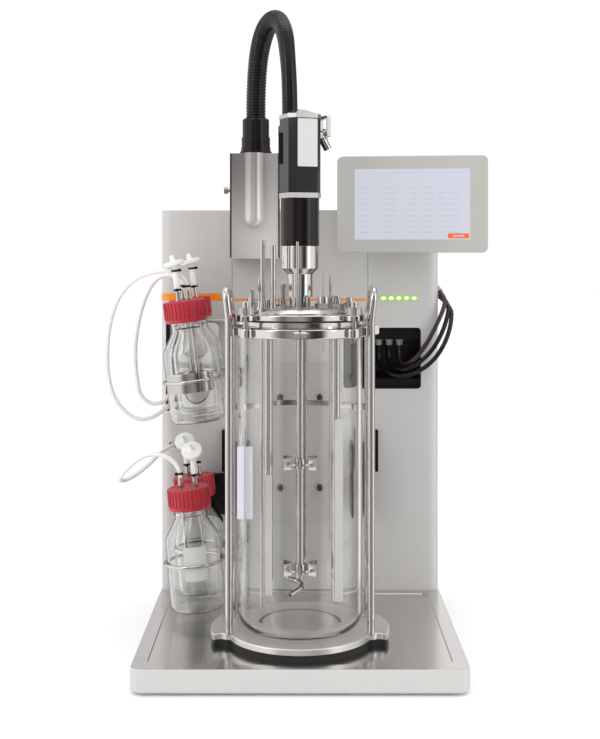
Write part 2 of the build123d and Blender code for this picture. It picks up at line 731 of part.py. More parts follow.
def make_tower_fittings():
    """The plate behind the vessel, its screws, and the pads and bars either side."""
    with BuildPart() as plate:
        middle, height = (BACK_PLATE_LOW + BACK_PLATE_HIGH) / 2, BACK_PLATE_HIGH - BACK_PLATE_LOW
        face_block(0, middle, BACK_PLATE_W, height, 4, BACK_PLATE_T)
    write(plate.part, "vessel_back_plate")

    with BuildPart() as screws:
        for screw_z in PLATE_SCREW_ZS:
            for side in (-1, 1):
                head = Plane((side * PLATE_SCREW_X, TOWER_FACE, screw_z), z_dir=(0, -1, 0))
                disc(head, BACK_PLATE_T, PLATE_SCREW_D / 2, PLATE_SCREW_H)
                with BuildSketch(head.offset(BACK_PLATE_T + PLATE_SCREW_H)) as socket:
                    RegularPolygon(PLATE_SCREW_D * 0.28, 6)
                extrude(socket.sketch, amount=-3, mode=Mode.SUBTRACT)
        behind = Plane((0, BASE_BACK, 0), x_dir=(-1, 0, 0), z_dir=(0, 1, 0))
        with BuildSketch(behind) as rear:
            with Locations((0, (BASE_TOP + TOWER_TOP) / 2)):
                with GridLocations(BASE_W - 2 * REAR_PANEL_INSET - 20, REAR_SCREW_SPAN, 2, 2):
                    Circle(REAR_SCREW_D / 2)
        extrude(rear.sketch, amount=2)
    write(screws.part, "panel_screws")

    with BuildPart() as fittings:
        for side in (-1, 1):
            face_block(side * PAD_X, PAD_Z, PAD_W, PAD_H, 2, PAD_PROUD)
            face_block(side * BAR_X, BAR_Z, BAR_W, BAR_H, 1.2, BAR_PROUD)
        face_block(BLOCK_X, BLOCK_Z, BLOCK_W, BLOCK_H, 3, BLOCK_PROUD)
    write(fittings.part, "dock_fittings")


# ---------------------------------------------------------------- conduit and its bracket
def make_conduit_bracket():
    """The folded steel bracket with its round pocket, its thumbscrew and the gland on top."""
    front = TOWER_FACE - BRACKET_DEPTH
    sheet = BRACKET_SHEET
    screw_y, screw_z, shank_r = TOWER_FACE - 23, 574.5, 2.3
    side = Plane((BRACKET_LEFT, screw_y, screw_z), z_dir=(-1, 0, 0))
    pocket = Plane((BRACKET_TUBE_X, front - 4, 0))
    tube_r = BRACKET_TUBE_D / 2
    with BuildPart() as bracket:
        box_between((BRACKET_LEFT, front, BRACKET_BOTTOM), (BRACKET_RIGHT, TOWER_FACE, BRACKET_TOP))
        fillet(bracket.edges().filter_by(Axis.Z).group_by(Axis.Y)[0], 2.5)
        box_between(
            (BRACKET_LEFT + sheet, front + sheet, BRACKET_BOTTOM - 1),
            (BRACKET_RIGHT - sheet, TOWER_FACE - sheet, BRACKET_TOP - sheet),
            mode=Mode.SUBTRACT,
        )
        box_between(
            (BRACKET_LEFT + sheet - 1, front - 3, BRACKET_BOTTOM),
            (BRACKET_RIGHT - sheet + 1, front + sheet, BRACKET_BOTTOM + sheet),
        )
        turn(
            pocket,
            [
                (0, BRACKET_TUBE_BOTTOM, 0),
                (tube_r, BRACKET_TUBE_BOTTOM, tube_r - 0.5),
                (tube_r, BRACKET_TOP, 0),
                (0, BRACKET_TOP, 0),
            ],
        )
        disc(side, -sheet - 1, shank_r + SHAFT_GAP, sheet + 2, Mode.SUBTRACT)
    write(bracket.part, "conduit_bracket")

    with BuildPart() as thumbscrew:
        disc(side, -sheet - 2, shank_r, sheet + 6)
        knurled_disc(side, 3.6, 4.5, 5.7, 18)
    write(thumbscrew.part, "bracket_thumbscrew")

    gland_y = HOSE_ROUTE[0][1]
    gland = Plane((HOSE_ROUTE[0][0], gland_y, BRACKET_TOP))
    with BuildPart() as collar:
        turn(
            gland,
            [
                (0, 0, 0),
                (21.5, 0, 0),
                (21.5, 4, 0.6),
                (20, 4, 0),
                (20, 9, 0),
                (19.3, 9, 0),
                (19.3, 23, 0.8),
                (18, 23, 0),
                (18, GLAND_H - 2, 0),
                (16.5, GLAND_H, 0),
                (0, GLAND_H, 0),
            ],
        )
    write(collar.part, "conduit_gland")


def knurled_disc(stand, height, radius, thickness, ridges):
    """A disc whose rim is cut with upright grip grooves."""
    disc(stand, height, radius, thickness)
    with BuildSketch(stand.offset(height)) as grooves:
        with PolarLocations(radius + 0.1, ridges):
            Circle(radius * pi / ridges * 0.5)
    extrude(grooves.sketch, amount=thickness, mode=Mode.SUBTRACT)


# ---------------------------------------------------------------- touch screen
def make_screen():
    """The screen on its two-way pivot: the arm, the swivel block, the housing and the glass."""
    pivot = Plane((SCREEN_X, TOWER_FACE - SWIVEL_STANDOFF, ARM_Z))
    block_h, ear_t, barrel_r = 24.0, 5.0, 8.0
    low_ear = -block_h / 2 - SEAT_GAP - ear_t
    high_ear = block_h / 2 + SEAT_GAP
    with BuildPart() as arm:
        box_between(
            (SCREEN_X - 24, TOWER_FACE - 4, ARM_Z - 24), (SCREEN_X + 24, TOWER_FACE, ARM_Z + 24)
        )
        for ear_z in (low_ear, high_ear):
            with BuildSketch(pivot.offset(ear_z)) as ear:
                Circle(barrel_r)
                with Locations((0, SWIVEL_STANDOFF / 2 - 1)):
                    Rectangle(2 * barrel_r, SWIVEL_STANDOFF - 2)
            extrude(ear.sketch, amount=ear_t)
        disc(pivot, low_ear, PIVOT_D / 2, high_ear - low_ear + ear_t)
    write(arm.part, "screen_arm")

    facing = Plane(
        (SCREEN_X, TOWER_FACE - SWIVEL_STANDOFF, SCREEN_Z),
        x_dir=(cos(radians(SCREEN_YAW)), sin(radians(SCREEN_YAW)), 0),
        z_dir=(sin(radians(SCREEN_YAW)), -cos(radians(SCREEN_YAW)), 0),
    )
    tilt_out = SCREEN_STANDOFF - 10.0
    tilt_up = ARM_Z - SCREEN_Z
    tilt_at = facing.from_local_coords((0, tilt_up, tilt_out))
    tilt = Plane(tilt_at, x_dir=(0, 0, 1), z_dir=facing.x_dir)
    knuckle = 18.0
    with BuildPart() as block:
        disc(pivot, -block_h / 2, barrel_r, block_h)
        with BuildSketch(facing) as neck:
            with Locations((0, tilt_up)):
                Rectangle(knuckle, 10)
        extrude(neck.sketch, amount=tilt_out)
        disc(tilt, -knuckle / 2, 6, knuckle)
        disc(pivot, -block_h / 2, PIVOT_D / 2 + SHAFT_GAP, block_h, Mode.SUBTRACT)
        disc(tilt, -knuckle / 2, TILT_D / 2 + SHAFT_GAP, knuckle, Mode.SUBTRACT)
    write(block.part, "screen_swivel_block")

    panel = facing.rotated((0, 0, SCREEN_ROLL)).offset(SCREEN_STANDOFF)
    with BuildPart() as housing:
        with BuildSketch(panel.offset(SCREEN_T - BEZEL_T)):
            RectangleRounded(SCREEN_W, SCREEN_H, SCREEN_CORNER_R)
        extrude(amount=BEZEL_T)
        fillet(housing.faces().sort_by(panel_axis(panel))[-1].edges(), 1.5)
        with BuildSketch(panel.offset(SCREEN_T - BEZEL_T)):
            RectangleRounded(SCREEN_W - 6, SCREEN_H - 6, SCREEN_CORNER_R - 2)
        extrude(amount=BEZEL_T - SCREEN_T, taper=12)
        with BuildSketch(panel.offset(SCREEN_T)):
            Rectangle(DISPLAY_W + 0.2, DISPLAY_H + 0.2)
        extrude(amount=-DISPLAY_T - 0.4, mode=Mode.SUBTRACT)
        for side in (-1, 1):
            ear_low = knuckle / 2 + SEAT_GAP if side > 0 else -knuckle / 2 - SEAT_GAP - 6
            disc(tilt, ear_low, 6, 6)
            with BuildSketch(tilt.offset(ear_low)) as web:
                with Locations((0, 6)):
                    Rectangle(12, 12)
            extrude(web.sketch, amount=6)
        disc(tilt, -knuckle / 2 - 3, TILT_D / 2, knuckle + 6)
    write(housing.part, "screen_housing")

    with BuildPart() as glass:
        with BuildSketch(panel.offset(SCREEN_T - DISPLAY_T - 0.4)):
            Rectangle(DISPLAY_W, DISPLAY_H)
        extrude(amount=DISPLAY_T)
    write(glass.part, "screen_glass")
    print("screen tilt axis", tuple(round(v, 3) for v in tilt_at), tuple(facing.x_dir))


def panel_axis(plane):
    """The axis along a plane's normal."""
    return Axis(plane.origin, plane.z_dir)


# ---------------------------------------------------------------- vessel stand
def make_stand():
    """The foot plate on its rubber, and the two rod hoops that the vessel is carried by."""
    for name, height, thick, inset in (
        ("foot_pad", BASE_TOP - PAN_DEPTH, PAN_DEPTH + FOOT_PAD_T, 1.5),
        ("foot_plate", FOOT_PLATE_Z, FOOT_PLATE_T, 0.0),
    ):
        with BuildPart() as plate:
            with BuildSketch(AXIS.offset(height)):
                Circle(FOOT_WING_R - inset)
                wing_d = FOOT_WING_TO - FOOT_WING_FROM - 2 * inset
                with Locations((0, (FOOT_WING_FROM + FOOT_WING_TO) / 2)):
                    Rectangle(3 * FOOT_WING_R, wing_d, mode=Mode.INTERSECT)
                Circle(FOOT_PLATE_R - inset)
                for side in (-1, 1):
                    with Locations((side * (FOOT_PLATE_R + 5), FOOT_WING_FROM - 6)):
                        Circle(9 + inset, mode=Mode.SUBTRACT)
            extrude(amount=thick)
            if name == "foot_plate":
                fillet(plate.faces().sort_by(Axis.Z)[-1].edges(), 1.5)
        write(plate.part, name)

    with BuildPart() as hoops:
        for side in (-1, 1):
            foot_x, top_x = side * HOOP_X, side * (HOOP_X + HOOP_LEAN)
            front, back = VESSEL_Y - HOOP_HALF_SPAN, VESSEL_Y + HOOP_HALF_SPAN
            with BuildLine() as route:
                FilletPolyline(
                    (foot_x, front, VESSEL_Z),
                    (foot_x, front, HOOP_LEAN_Z),
                    (top_x, front, HOOP_TOP_Z),
                    (top_x, back, HOOP_TOP_Z),
                    (foot_x, back, HOOP_LEAN_Z),
                    (foot_x, back, VESSEL_Z),
                    radius=[60, HOOP_CORNER_R, HOOP_CORNER_R, 60],
                )
            with BuildSketch(Plane(route.line @ 0, z_dir=route.line % 0)) as rod:
                Circle(HOOP_ROD_D / 2)
            sweep(rod.sketch, path=route.line)
    write(hoops.part, "hoop_handles")
    make_back_stay()


def make_back_stay():
    """The half-round band behind the glass, with a collar round each rear hoop rod."""
    inner = VESSEL_R + SEAT_GAP
    reach = Vector(HOOP_X, HOOP_HALF_SPAN).length
    lean = degrees(atan2(HOOP_HALF_SPAN, HOOP_X))
    with BuildPart() as stay:
        with BuildSketch(AXIS.offset(STAY_Z)):
            Circle(inner + STAY_T)
            with Locations((0, HOOP_HALF_SPAN * inner / reach + inner)):
                Rectangle(4 * inner, 2 * inner, mode=Mode.INTERSECT)
            for angle in (lean, 180 - lean):
                with PolarLocations((inner + reach) / 2, 1, start_angle=angle):
                    Rectangle(reach - inner, STAY_T)
            with Locations((-HOOP_X, HOOP_HALF_SPAN), (HOOP_X, HOOP_HALF_SPAN)):
                Circle(STAY_COLLAR_D / 2)
                Circle(HOOP_ROD_D / 2, mode=Mode.SUBTRACT)
            Circle(inner, mode=Mode.SUBTRACT)
        extrude(amount=STAY_H)
    write(stay.part, "vessel_back_stay")


# ---------------------------------------------------------------- vessel
def make_vessel():
    """The glass vessel with its knuckled bottom and flange, and the gasket on the flange."""
    inner = VESSEL_R - VESSEL_WALL
    with BuildPart() as glass:
        turn(
            AXIS,
            [
                (0, VESSEL_Z, 0),
                (VESSEL_R, VESSEL_Z, VESSEL_KNUCKLE_R),
                (VESSEL_R, FLANGE_Z, 0),
                (VESSEL_FLANGE_R, FLANGE_Z, 1),
                (VESSEL_FLANGE_R, GASKET_Z, 1),
                (inner, GASKET_Z, 1),
                (inner, VESSEL_Z + VESSEL_WALL, VESSEL_KNUCKLE_R - VESSEL_WALL),
                (0, VESSEL_Z + VESSEL_WALL, 0),
            ],
        )
    write(glass.part, "glass_vessel")

    with BuildPart() as gasket:
        disc(AXIS, GASKET_Z, VESSEL_FLANGE_R - 2, GASKET_T)
        disc(AXIS, GASKET_Z, inner + 1.5, GASKET_T, Mode.SUBTRACT)
    write(gasket.part, "lid_gasket")


def make_clamp_ring():
    """The split ring under the flange, with stud lugs, closing lugs and a side tab."""
    split_w = 2.0
    with BuildPart() as ring:
        with BuildSketch(AXIS.offset(CLAMP_RING_Z)):
            Circle(CLAMP_RING_R)
            with PolarLocations(CLAMP_PITCH_R - 2, 4, start_angle=CLAMP_ANGLES[0]):
                Circle(8.5)
            with Locations((CLAMP_RING_R + 3, 0)):
                RegularPolygon(8, 3)
            Circle(VESSEL_R + 0.5, mode=Mode.SUBTRACT)
            with PolarLocations(CLAMP_PITCH_R, 4, start_angle=CLAMP_ANGLES[0]):
                Circle(STUD_D / 2 + SHAFT_GAP, mode=Mode.SUBTRACT)
        extrude(amount=CLAMP_RING_H)
        by_height = ring.faces().sort_by(Axis.Z)
        fillet(
            [edge for face in (by_height[0], by_height[-1]) for edge in face.outer_wire().edges()],
            CLAMP_RING_ROUND,
        )
        front = VESSEL_Y - CLAMP_RING_R
        half_l = SPLIT_LUG_L / 2
        lug = Plane((0, front - 3.6, CLAMP_RING_Z + CLAMP_RING_H / 2), z_dir=(1, 0, 0))
        disc(lug, -half_l, SPLIT_LUG_D / 2, SPLIT_LUG_L)
        box_between((-half_l, front - 2, CLAMP_RING_Z + 2), (half_l, front + 3, FLANGE_Z - 2))
        box_between(
            (-split_w / 2, front - 10, CLAMP_RING_Z - 1),
            (split_w / 2, VESSEL_Y, FLANGE_Z + 1),
            mode=Mode.SUBTRACT,
        )
        disc(lug, -half_l - 2, SPLIT_BOLT_D / 2 + 0.1, SPLIT_LUG_L + 4, Mode.SUBTRACT)
    write(ring.part, "clamp_ring")

    with BuildPart() as bolts:
        for angle in CLAMP_ANGLES:
            disc(clamp_stand(angle), CLAMP_RING_Z, STUD_D / 2, LID_TOP + KNOB_H - CLAMP_RING_Z)
        disc(lug, -half_l + 0.5, SPLIT_BOLT_D / 2, SPLIT_LUG_L - 0.4)
        disc(lug, half_l, SPLIT_BOLT_D * 0.85, 3)
    write(bolts.part, "clamp_bolts")


def clamp_stand(angle):
    """The upright stand of one of the lid's clamps."""
    return lidded(CLAMP_PITCH_R * cos(radians(angle)), CLAMP_PITCH_R * sin(radians(angle)))


def make_clamp_knobs():
    """One knurled knob on each stud, with a turned boss on top."""
    for number, angle in enumerate(CLAMP_ANGLES, start=1):
        stand = clamp_stand(angle)
        seat = LID_TOP - LID_SPOTFACE + 0.2
        with BuildPart() as knob:
            knurled_disc(stand, seat + 1.5, KNOB_D / 2, KNOB_H - 1.5, 24)
            disc(stand, seat, KNOB_D / 2 - 2, 1.5)
            turn(
                stand,
                [
                    (0, seat + KNOB_H, 0),
                    (4.25, seat + KNOB_H, 0),
                    (4.25, seat + KNOB_H + 7, 1.2),
                    (0, seat + KNOB_H + 7, 0),
                ],
            )
            bore_top = LID_TOP + KNOB_H + 0.3
            disc(stand, seat, STUD_D / 2 + SHAFT_GAP, bore_top - seat, Mode.SUBTRACT)
        write(knob.part, f"clamp_knob_{number}")


# ---------------------------------------------------------------- lid and what stands in it
def make_lid():
    """The lid with its four slotted ears, its port holes and the spigot inside the glass."""
    slot_w, spigot_r = STUD_D + 1, VESSEL_R - VESSEL_WALL - 0.5
    with BuildPart() as lid:
        with BuildSketch(AXIS.offset(LID_Z)):
            Circle(LID_R)
            with PolarLocations(CLAMP_PITCH_R, 4, start_angle=CLAMP_ANGLES[0]):
                Circle(LID_EAR_R)
        extrude(amount=LID_T)
        fillet(lid.faces().sort_by(Axis.Z)[-1].edges(), 1)
        for angle in CLAMP_ANGLES:
            spotface = clamp_stand(angle).offset(LID_TOP - LID_SPOTFACE)
            disc(spotface, 0, LID_SPOTFACE_D / 2, LID_SPOTFACE + 1, Mode.SUBTRACT)
        disc(AXIS, LID_Z - LID_SPIGOT_H, spigot_r, LID_SPIGOT_H)
        disc(
            AXIS, LID_Z - LID_SPIGOT_H, spigot_r - LID_SPIGOT_WALL, LID_SPIGOT_H - 2, Mode.SUBTRACT
        )
        with BuildSketch(AXIS.offset(LID_Z)) as slots:
            with PolarLocations(CLAMP_PITCH_R + 8, 4, start_angle=CLAMP_ANGLES[0]):
                Rectangle(16, slot_w)
            with PolarLocations(CLAMP_PITCH_R, 4, start_angle=CLAMP_ANGLES[0]):
                Circle(slot_w / 2)
        extrude(slots.sketch, amount=LID_T, mode=Mode.SUBTRACT)
        bore_from, bore_l = LID_Z - LID_SPIGOT_H - 2, LID_SPIGOT_H + LID_T + 4
        for port in PORTS:
            stand = lidded(port.x, port.y)
            disc(stand, bore_from, port.tube_d / 2 + SEAT_GAP, bore_l, Mode.SUBTRACT)
        disc(AXIS, bore_from, SHAFT_D / 2 + 0.5, bore_l, Mode.SUBTRACT)
    write(lid.part, "lid")


def make_ports():
    """The fittings that stand on the lid, and the tubes and probes that pass through them."""
    nut_share, round_share = 0.6, 0.45
    with BuildPart() as fittings:
        for port in PORTS:
            stand = lidded(port.x, port.y).offset(LID_TOP)
            if port.sides:
                low_h, neck_r = port.height * nut_share, port.width * 0.4
                with BuildSketch(stand) as hexagon:
                    RegularPolygon(port.width / 2, port.sides, major_radius=False)
                extrude(hexagon.sketch, amount=low_h)
            else:
                low_h, neck_r = port.height * round_share, port.width * 0.38
                disc(stand, 0, port.width / 2, low_h)
            disc(stand, low_h, neck_r, port.height - low_h)
            disc(stand, -1, port.tube_d / 2 + SEAT_GAP, port.height + 2, Mode.SUBTRACT)
    write(fittings.part, "port_fittings")

    with BuildPart() as probes:
        for port in PORTS:
            if port.tube_top > 0:
                probe_r = port.tube_d / 2
                turn(
                    lidded(port.x, port.y),
                    [
                        (0, port.tube_bottom, 0),
                        (probe_r, port.tube_bottom, probe_r * 0.6),
                        (probe_r, port.tube_top, probe_r * 0.24),
                        (0, port.tube_top, 0),
                    ],
                )
    write(probes.part, "lid_probes")


# ---------------------------------------------------------------- drive train
def make_drive():
    """The stirrer's bearing hub on the lid, and the motor stack that stands on it."""
    with BuildPart() as hub:
        with BuildSketch(AXIS.offset(LID_TOP)):
            RegularPolygon(HUB_HEX / 2, 6, major_radius=False)
        extrude(amount=HUB_HEX_H * 0.35)
        disc(AXIS, LID_TOP + HUB_HEX_H * 0.35, HUB_D / 2 - 3, HUB_HEX_H * 0.65)
        disc(AXIS, LID_TOP + HUB_HEX_H, HUB_D / 2, HUB_TOP - LID_TOP - HUB_HEX_H)
        disc(AXIS, LID_TOP, SHAFT_D / 2 + SHAFT_GAP, HUB_TOP - LID_TOP, Mode.SUBTRACT)
    write(hub.part, "drive_hub")

    with BuildPart() as adapter:
        turn(
            AXIS,
            [
                (SHAFT_D / 2 + 1, HUB_TOP, 0),
                (HUB_D / 2, HUB_TOP, 0),
                (ADAPTER_D / 2, HUB_TOP + 7, 0),
                (ADAPTER_D / 2, ADAPTER_TOP, 0.8),
                (SHAFT_D / 2 + 1, ADAPTER_TOP, 0),
            ],
        )
    write(adapter.part, "motor_adapter")

    with BuildPart() as gearbox:
        turn(
            AXIS,
            [
                (0, ADAPTER_TOP, 0),
                (GEARBOX_D / 2, ADAPTER_TOP, 0.8),
                (GEARBOX_D / 2, GEARBOX_TOP, 0.8),
                (0, GEARBOX_TOP, 0),
            ],
        )
    write(gearbox.part, "gearbox_body")
    make_motor()


def motor_outline(grow=0.0):
    """The motor's section: a square with long chamfers."""
    side = MOTOR_SIDE + 2 * grow
    section = Rectangle(side, side)
    chamfer(section.vertices(), MOTOR_CHAMFER + grow * 0.6)


def make_motor():
    """The motor body with its terminal box, and its lower flange and roof-shaped cap."""
    turned = Plane(
        (0, VESSEL_Y, 0), x_dir=(cos(radians(MOTOR_TURN)), sin(radians(MOTOR_TURN)), 0)
    )
    body_low = GEARBOX_TOP + PLATE_T
    end_x, end_y, end_z = HOSE_ROUTE[-1]
    box_top, half_w = end_z - TERMINAL_NECK_H, TERMINAL_BOX_W / 2
    with BuildPart() as body:
        with BuildSketch(turned.offset(body_low)):
            motor_outline()
        extrude(amount=MOTOR_TOP - body_low)
        box_between(
            (end_x - half_w, VESSEL_Y, box_top - TERMINAL_BOX_H),
            (end_x + half_w, end_y + half_w, box_top),
        )
        fillet(
            [e for e in body.edges().filter_by(Axis.Z) if e.center().Y > end_y + half_w - 1], 5
        )
        disc(Plane((end_x, end_y, 0)), box_top, TERMINAL_NECK_D / 2, TERMINAL_NECK_H)
    write(body.part, "motor_body")

    eaves_z = MOTOR_TOP + PLATE_T - 1
    with BuildPart() as plates:
        with BuildSketch(turned.offset(GEARBOX_TOP)) as flange:
            motor_outline(0.6)
        extrude(flange.sketch, amount=PLATE_T)
        with BuildSketch(turned.offset(MOTOR_TOP)) as cap:
            motor_outline(0.6)
        extrude(cap.sketch, amount=eaves_z - MOTOR_TOP)
        with BuildSketch(turned.offset(eaves_z)) as eaves:
            motor_outline(-0.6)
        with BuildSketch(turned.offset(CAP_TOP)) as ridge:
            Rectangle(CAP_RIDGE, CAP_RIDGE)
            chamfer(ridge.vertices(), 2)
        loft([eaves.sketch.face(), ridge.sketch.face()])
    write(plates.part, "motor_end_plates")
    make_connector()


def make_connector():
    """The plug on the motor's right face, its angled outlet, and the wire bail that locks it."""
    turned = radians(MOTOR_TURN)
    beside = Plane(
        (0, VESSEL_Y, CONNECTOR_Z), x_dir=(-sin(turned), cos(turned), 0), z_dir=(cos(turned), sin(turned), 0)
    )
    face, flange_t, pin_l = MOTOR_SIDE / 2, 3.5, 5.0
    flange_at = face + CONNECTOR_L
    pivot_at = flange_at + flange_t / 2
    outlet = Plane(
        beside.from_local_coords((0, -4, flange_at - 2)), z_dir=beside.z_dir * 0.5 - Vector(0, 0, 0.87)
    )
    with BuildPart() as connector:
        disc(beside, face, 6, CONNECTOR_L)
        disc(beside, flange_at, 7.5, flange_t)
        disc(outlet, 0, 5, 15)
        for side in (-1, 1):
            pin = Plane(
                beside.from_local_coords((side * (BAIL_W / 2 - pin_l), 0, pivot_at)),
                z_dir=beside.x_dir * side,
            )
            disc(pin, 0, BAIL_PIN_D / 2, pin_l)
    write(connector.part, "motor_connector")

    low, high = -3.0, BAIL_H
    with BuildPart() as lever:
        with BuildSketch(beside.offset(pivot_at - BAIL_DEPTH / 2)) as bail:
            with Locations((0, (low + high) / 2)):
                RectangleRounded(BAIL_W, high - low, 3)
            with Locations((0, (low + high) / 2 - 2 * BAIL_T)):
                Rectangle(BAIL_W - 2 * BAIL_T, high - low, mode=Mode.SUBTRACT)
        extrude(bail.sketch, amount=BAIL_DEPTH)
        bore = Plane(
            beside.from_local_coords((-BAIL_W / 2 - 1, 0, pivot_at)), z_dir=beside.x_dir
        )
        disc(bore, 0, BAIL_PIN_D / 2 + SHAFT_GAP, BAIL_W + 2, Mode.SUBTRACT)
    write(lever.part, "connector_lever")


def make_stirrer():
    """The shaft, the two six-bladed disc impellers on it, and the gas sparger under them."""
    with BuildPart() as shaft:
        turn(
            AXIS,
            [
                (0, SHAFT_BOTTOM, 0),
                (SHAFT_D / 2, SHAFT_BOTTOM, 1),
                (SHAFT_D / 2, ADAPTER_TOP - 2, 1),
                (0, ADAPTER_TOP - 2, 0),
            ],
        )
    write(shaft.part, "stirrer_shaft")

    disc_r = IMPELLER_D / 2 - BLADE_L * 0.55
    with BuildPart() as impellers:
        for middle in IMPELLER_ZS:
            disc(AXIS, middle - 1, disc_r, 2)
            disc(AXIS, middle - 6, 8, 12)
            with BuildSketch(AXIS.offset(middle - BLADE_H / 2)) as blades:
                with PolarLocations((IMPELLER_D - BLADE_L) / 2, IMPELLER_BLADES, start_angle=30):
                    Rectangle(BLADE_L, BLADE_T)
            extrude(blades.sketch, amount=BLADE_H)
            disc(AXIS, middle - 6, SHAFT_D / 2 + SHAFT_GAP, 12, Mode.SUBTRACT)
    write(impellers.part, "rushton_impellers")
    make_sparger()


def make_sparger():
    """The gas pipe that drops from the lid and hooks round to a nozzle under the impeller."""
    with BuildPart() as sparger:
        with BuildLine() as route:
            FilletPolyline(SPARGE_ROUTE, radius=arc_radii(SPARGE_ROUTE))
        with BuildSketch(Plane(route.line @ 0, z_dir=route.line % 0)) as section:
            Circle(SPARGE_TUBE_D / 2)
        sweep(section.sketch, path=route.line)
        nozzle = Plane(route.line @ 1, z_dir=route.line % 1)
        disc(nozzle, -1, SPARGE_NOZZLE_D / 2, 4)
        disc(nozzle, -2, SPARGE_HOLE_D / 2, 6, Mode.SUBTRACT)
    write(sparger.part, "sparger_pipe")


# ---------------------------------------------------------------- bottles
def bottle_stand(bottle):
    """The stand of a bottle, which leans towards the left."""
    tip = radians(bottle.lean)
    return Plane(
        (BOTTLE_X, bottle.y, bottle.z), x_dir=(cos(tip), 0, sin(tip)), z_dir=(-sin(tip), 0, cos(tip))
    )


def cap_port_stand(bottle, side):
    """The stand of one of the two ports on a bottle's cap."""
    stand = bottle_stand(bottle)
    angle = radians(bottle.ports_turn)
    away = side * PORT_SPREAD
    at = stand.from_local_coords((away * cos(angle), away * sin(angle), CAP_BASE + CAP_H))
    return Plane(at, x_dir=stand.x_dir, z_dir=stand.z_dir)


def make_bottles():
    """Four glass bottles, their ribbed screw caps, and the ports on the caps."""
    body_r, neck_r, wall = BOTTLE_D / 2, BOTTLE_NECK_D / 2, BOTTLE_WALL
    shoulder, neck = BOTTLE_SHOULDER_H, BOTTLE_NECK_H
    with BuildPart() as glass:
        for bottle in BOTTLES:
            turn(
                bottle_stand(bottle),
                [
                    (0, 2, 0),
                    (body_r - 12, 0, 2),
                    (body_r, 0, 7),
                    (body_r, shoulder, 16),
                    (neck_r, neck, 9),
                    (neck_r, BOTTLE_H, 0.8),
                    (neck_r - wall, BOTTLE_H, 0.8),
                    (neck_r - wall, neck - wall * 0.5, 8),
                    (body_r - wall, shoulder - wall * 0.5, 14),
                    (body_r - wall, wall, 5),
                    (body_r - 12, wall, 2),
                    (0, 2 + wall, 0),
                ],
            )
    write(glass.part, "reagent_bottles")

    skirt_h, port_r = 4.0, PORT_D / 2 - 1
    with BuildPart() as caps:
        for bottle in BOTTLES:
            stand = bottle_stand(bottle)
            thread_h = BOTTLE_H - CAP_BASE + SEAT_GAP
            knurled_disc(stand, CAP_BASE + skirt_h, CAP_D / 2, CAP_H - skirt_h, CAP_RIBS)
            disc(stand, CAP_BASE, CAP_D / 2 - 0.4, skirt_h)
            disc(stand, CAP_BASE, neck_r + SEAT_GAP, thread_h, Mode.SUBTRACT)
            for side in (-1, 1):
                port = cap_port_stand(bottle, side)
                disc(port, -CAP_H, port_r + SHAFT_GAP, CAP_H + 1, Mode.SUBTRACT)
    write(caps.part, "bottle_caps")

    stem = 10.0  # how far each port reaches down through the cap
    with BuildPart() as ports:
        for bottle in BOTTLES:
            for side in (-1, 1):
                port = cap_port_stand(bottle, side)
                reach = DIP_TUBE_OFF_FLOOR - CAP_BASE if side < 0 else -stem - 4
                disc(port, -stem, port_r, stem)
                disc(port, 0, PORT_D / 2, 3)
                disc(port, 3, port_r, PORT_H - 3)
                disc(port, reach, DIP_TUBE_D / 2, -reach - stem)
    write(ports.part, "cap_ports")
    make_filters()
    make_bottle_holders()


def make_filters():
    """A disc filter on a short hose above one port of each cap."""
    rim_r, face_h = FILTER_D / 2, FILTER_NECK + FILTER_T
    with BuildPart() as filters:
        for bottle in BOTTLES:
            port = cap_port_stand(bottle, 1)
            disc(port, PORT_H, PORT_D / 2, FILTER_HOSE_L)
            top = port.offset(PORT_H + FILTER_HOSE_L - 1).rotated((bottle.filter_flop, 0, 0))
            turn(
                top,
                [
                    (0, -1, 0),
                    (2.8, -1, 0),
                    (3, FILTER_NECK, 0),
                    (rim_r - 2, FILTER_NECK, 0),
                    (rim_r, FILTER_NECK + 1.5, 0),
                    (rim_r, face_h - 1.5, 0),
                    (rim_r - 2, face_h, 0),
                    (3, face_h, 0),
                    (2.6, face_h + 8, 0),
                    (0, face_h + 8, 0),
                ],
            )
    write(filters.part, "vent_filters")


def make_bottle_holders():
    """A wire hoop round each bottle, a strap on the front upper one, and the rails behind."""
    wire_r = HOLDER_WIRE_D / 2
    hoop_r = BOTTLE_D / 2 + SEAT_GAP + wire_r
    strap_h, strap_t, strap_half_angle = 21.0, 1.2, 48.0
    rail_d, foot_w, foot_h, foot_t = 5.0, 14.0, 26.0, 2.0
    with BuildPart() as holders:
        for bottle in BOTTLES:
            level = bottle_stand(bottle).offset(bottle.hoop_h)
            with BuildSketch(section_of(level)) as wire:
                with Locations((hoop_r, 0)):
                    Circle(wire_r)
            revolve(wire.sketch, axis=Axis(level.origin, level.z_dir))
        strap = bottle_stand(BOTTLES[0]).offset(BOTTLES[0].hoop_h - strap_h / 2)
        with BuildSketch(section_of(strap)) as band:
            with Locations((BOTTLE_D / 2 + SEAT_GAP + strap_t / 2, strap_h / 2)):
                Rectangle(strap_t, strap_h)
        turned = band.sketch.rotate(Axis(strap.origin, strap.z_dir), -90 - strap_half_angle)
        revolve(turned, axis=Axis(strap.origin, strap.z_dir), revolution_arc=2 * strap_half_angle)
        for bottle in BOTTLES[1::2]:
            at = bottle_stand(bottle).from_local_coords((hoop_r, 0, bottle.hoop_h))
            rail = Plane((at.X + 1.5, BOTTLE_FRONT_Y, at.Z), x_dir=(1, 0, 0), z_dir=(0, 1, 0))
            rail_l = TOWER_FACE - foot_t - BOTTLE_FRONT_Y
            disc(rail, 0, rail_d / 2, rail_l)
            with BuildSketch(rail.offset(rail_l)) as plate:
                RectangleRounded(foot_w, foot_h, 3)
            extrude(plate.sketch, amount=foot_t)
    write(holders.part, "bottle_holders")


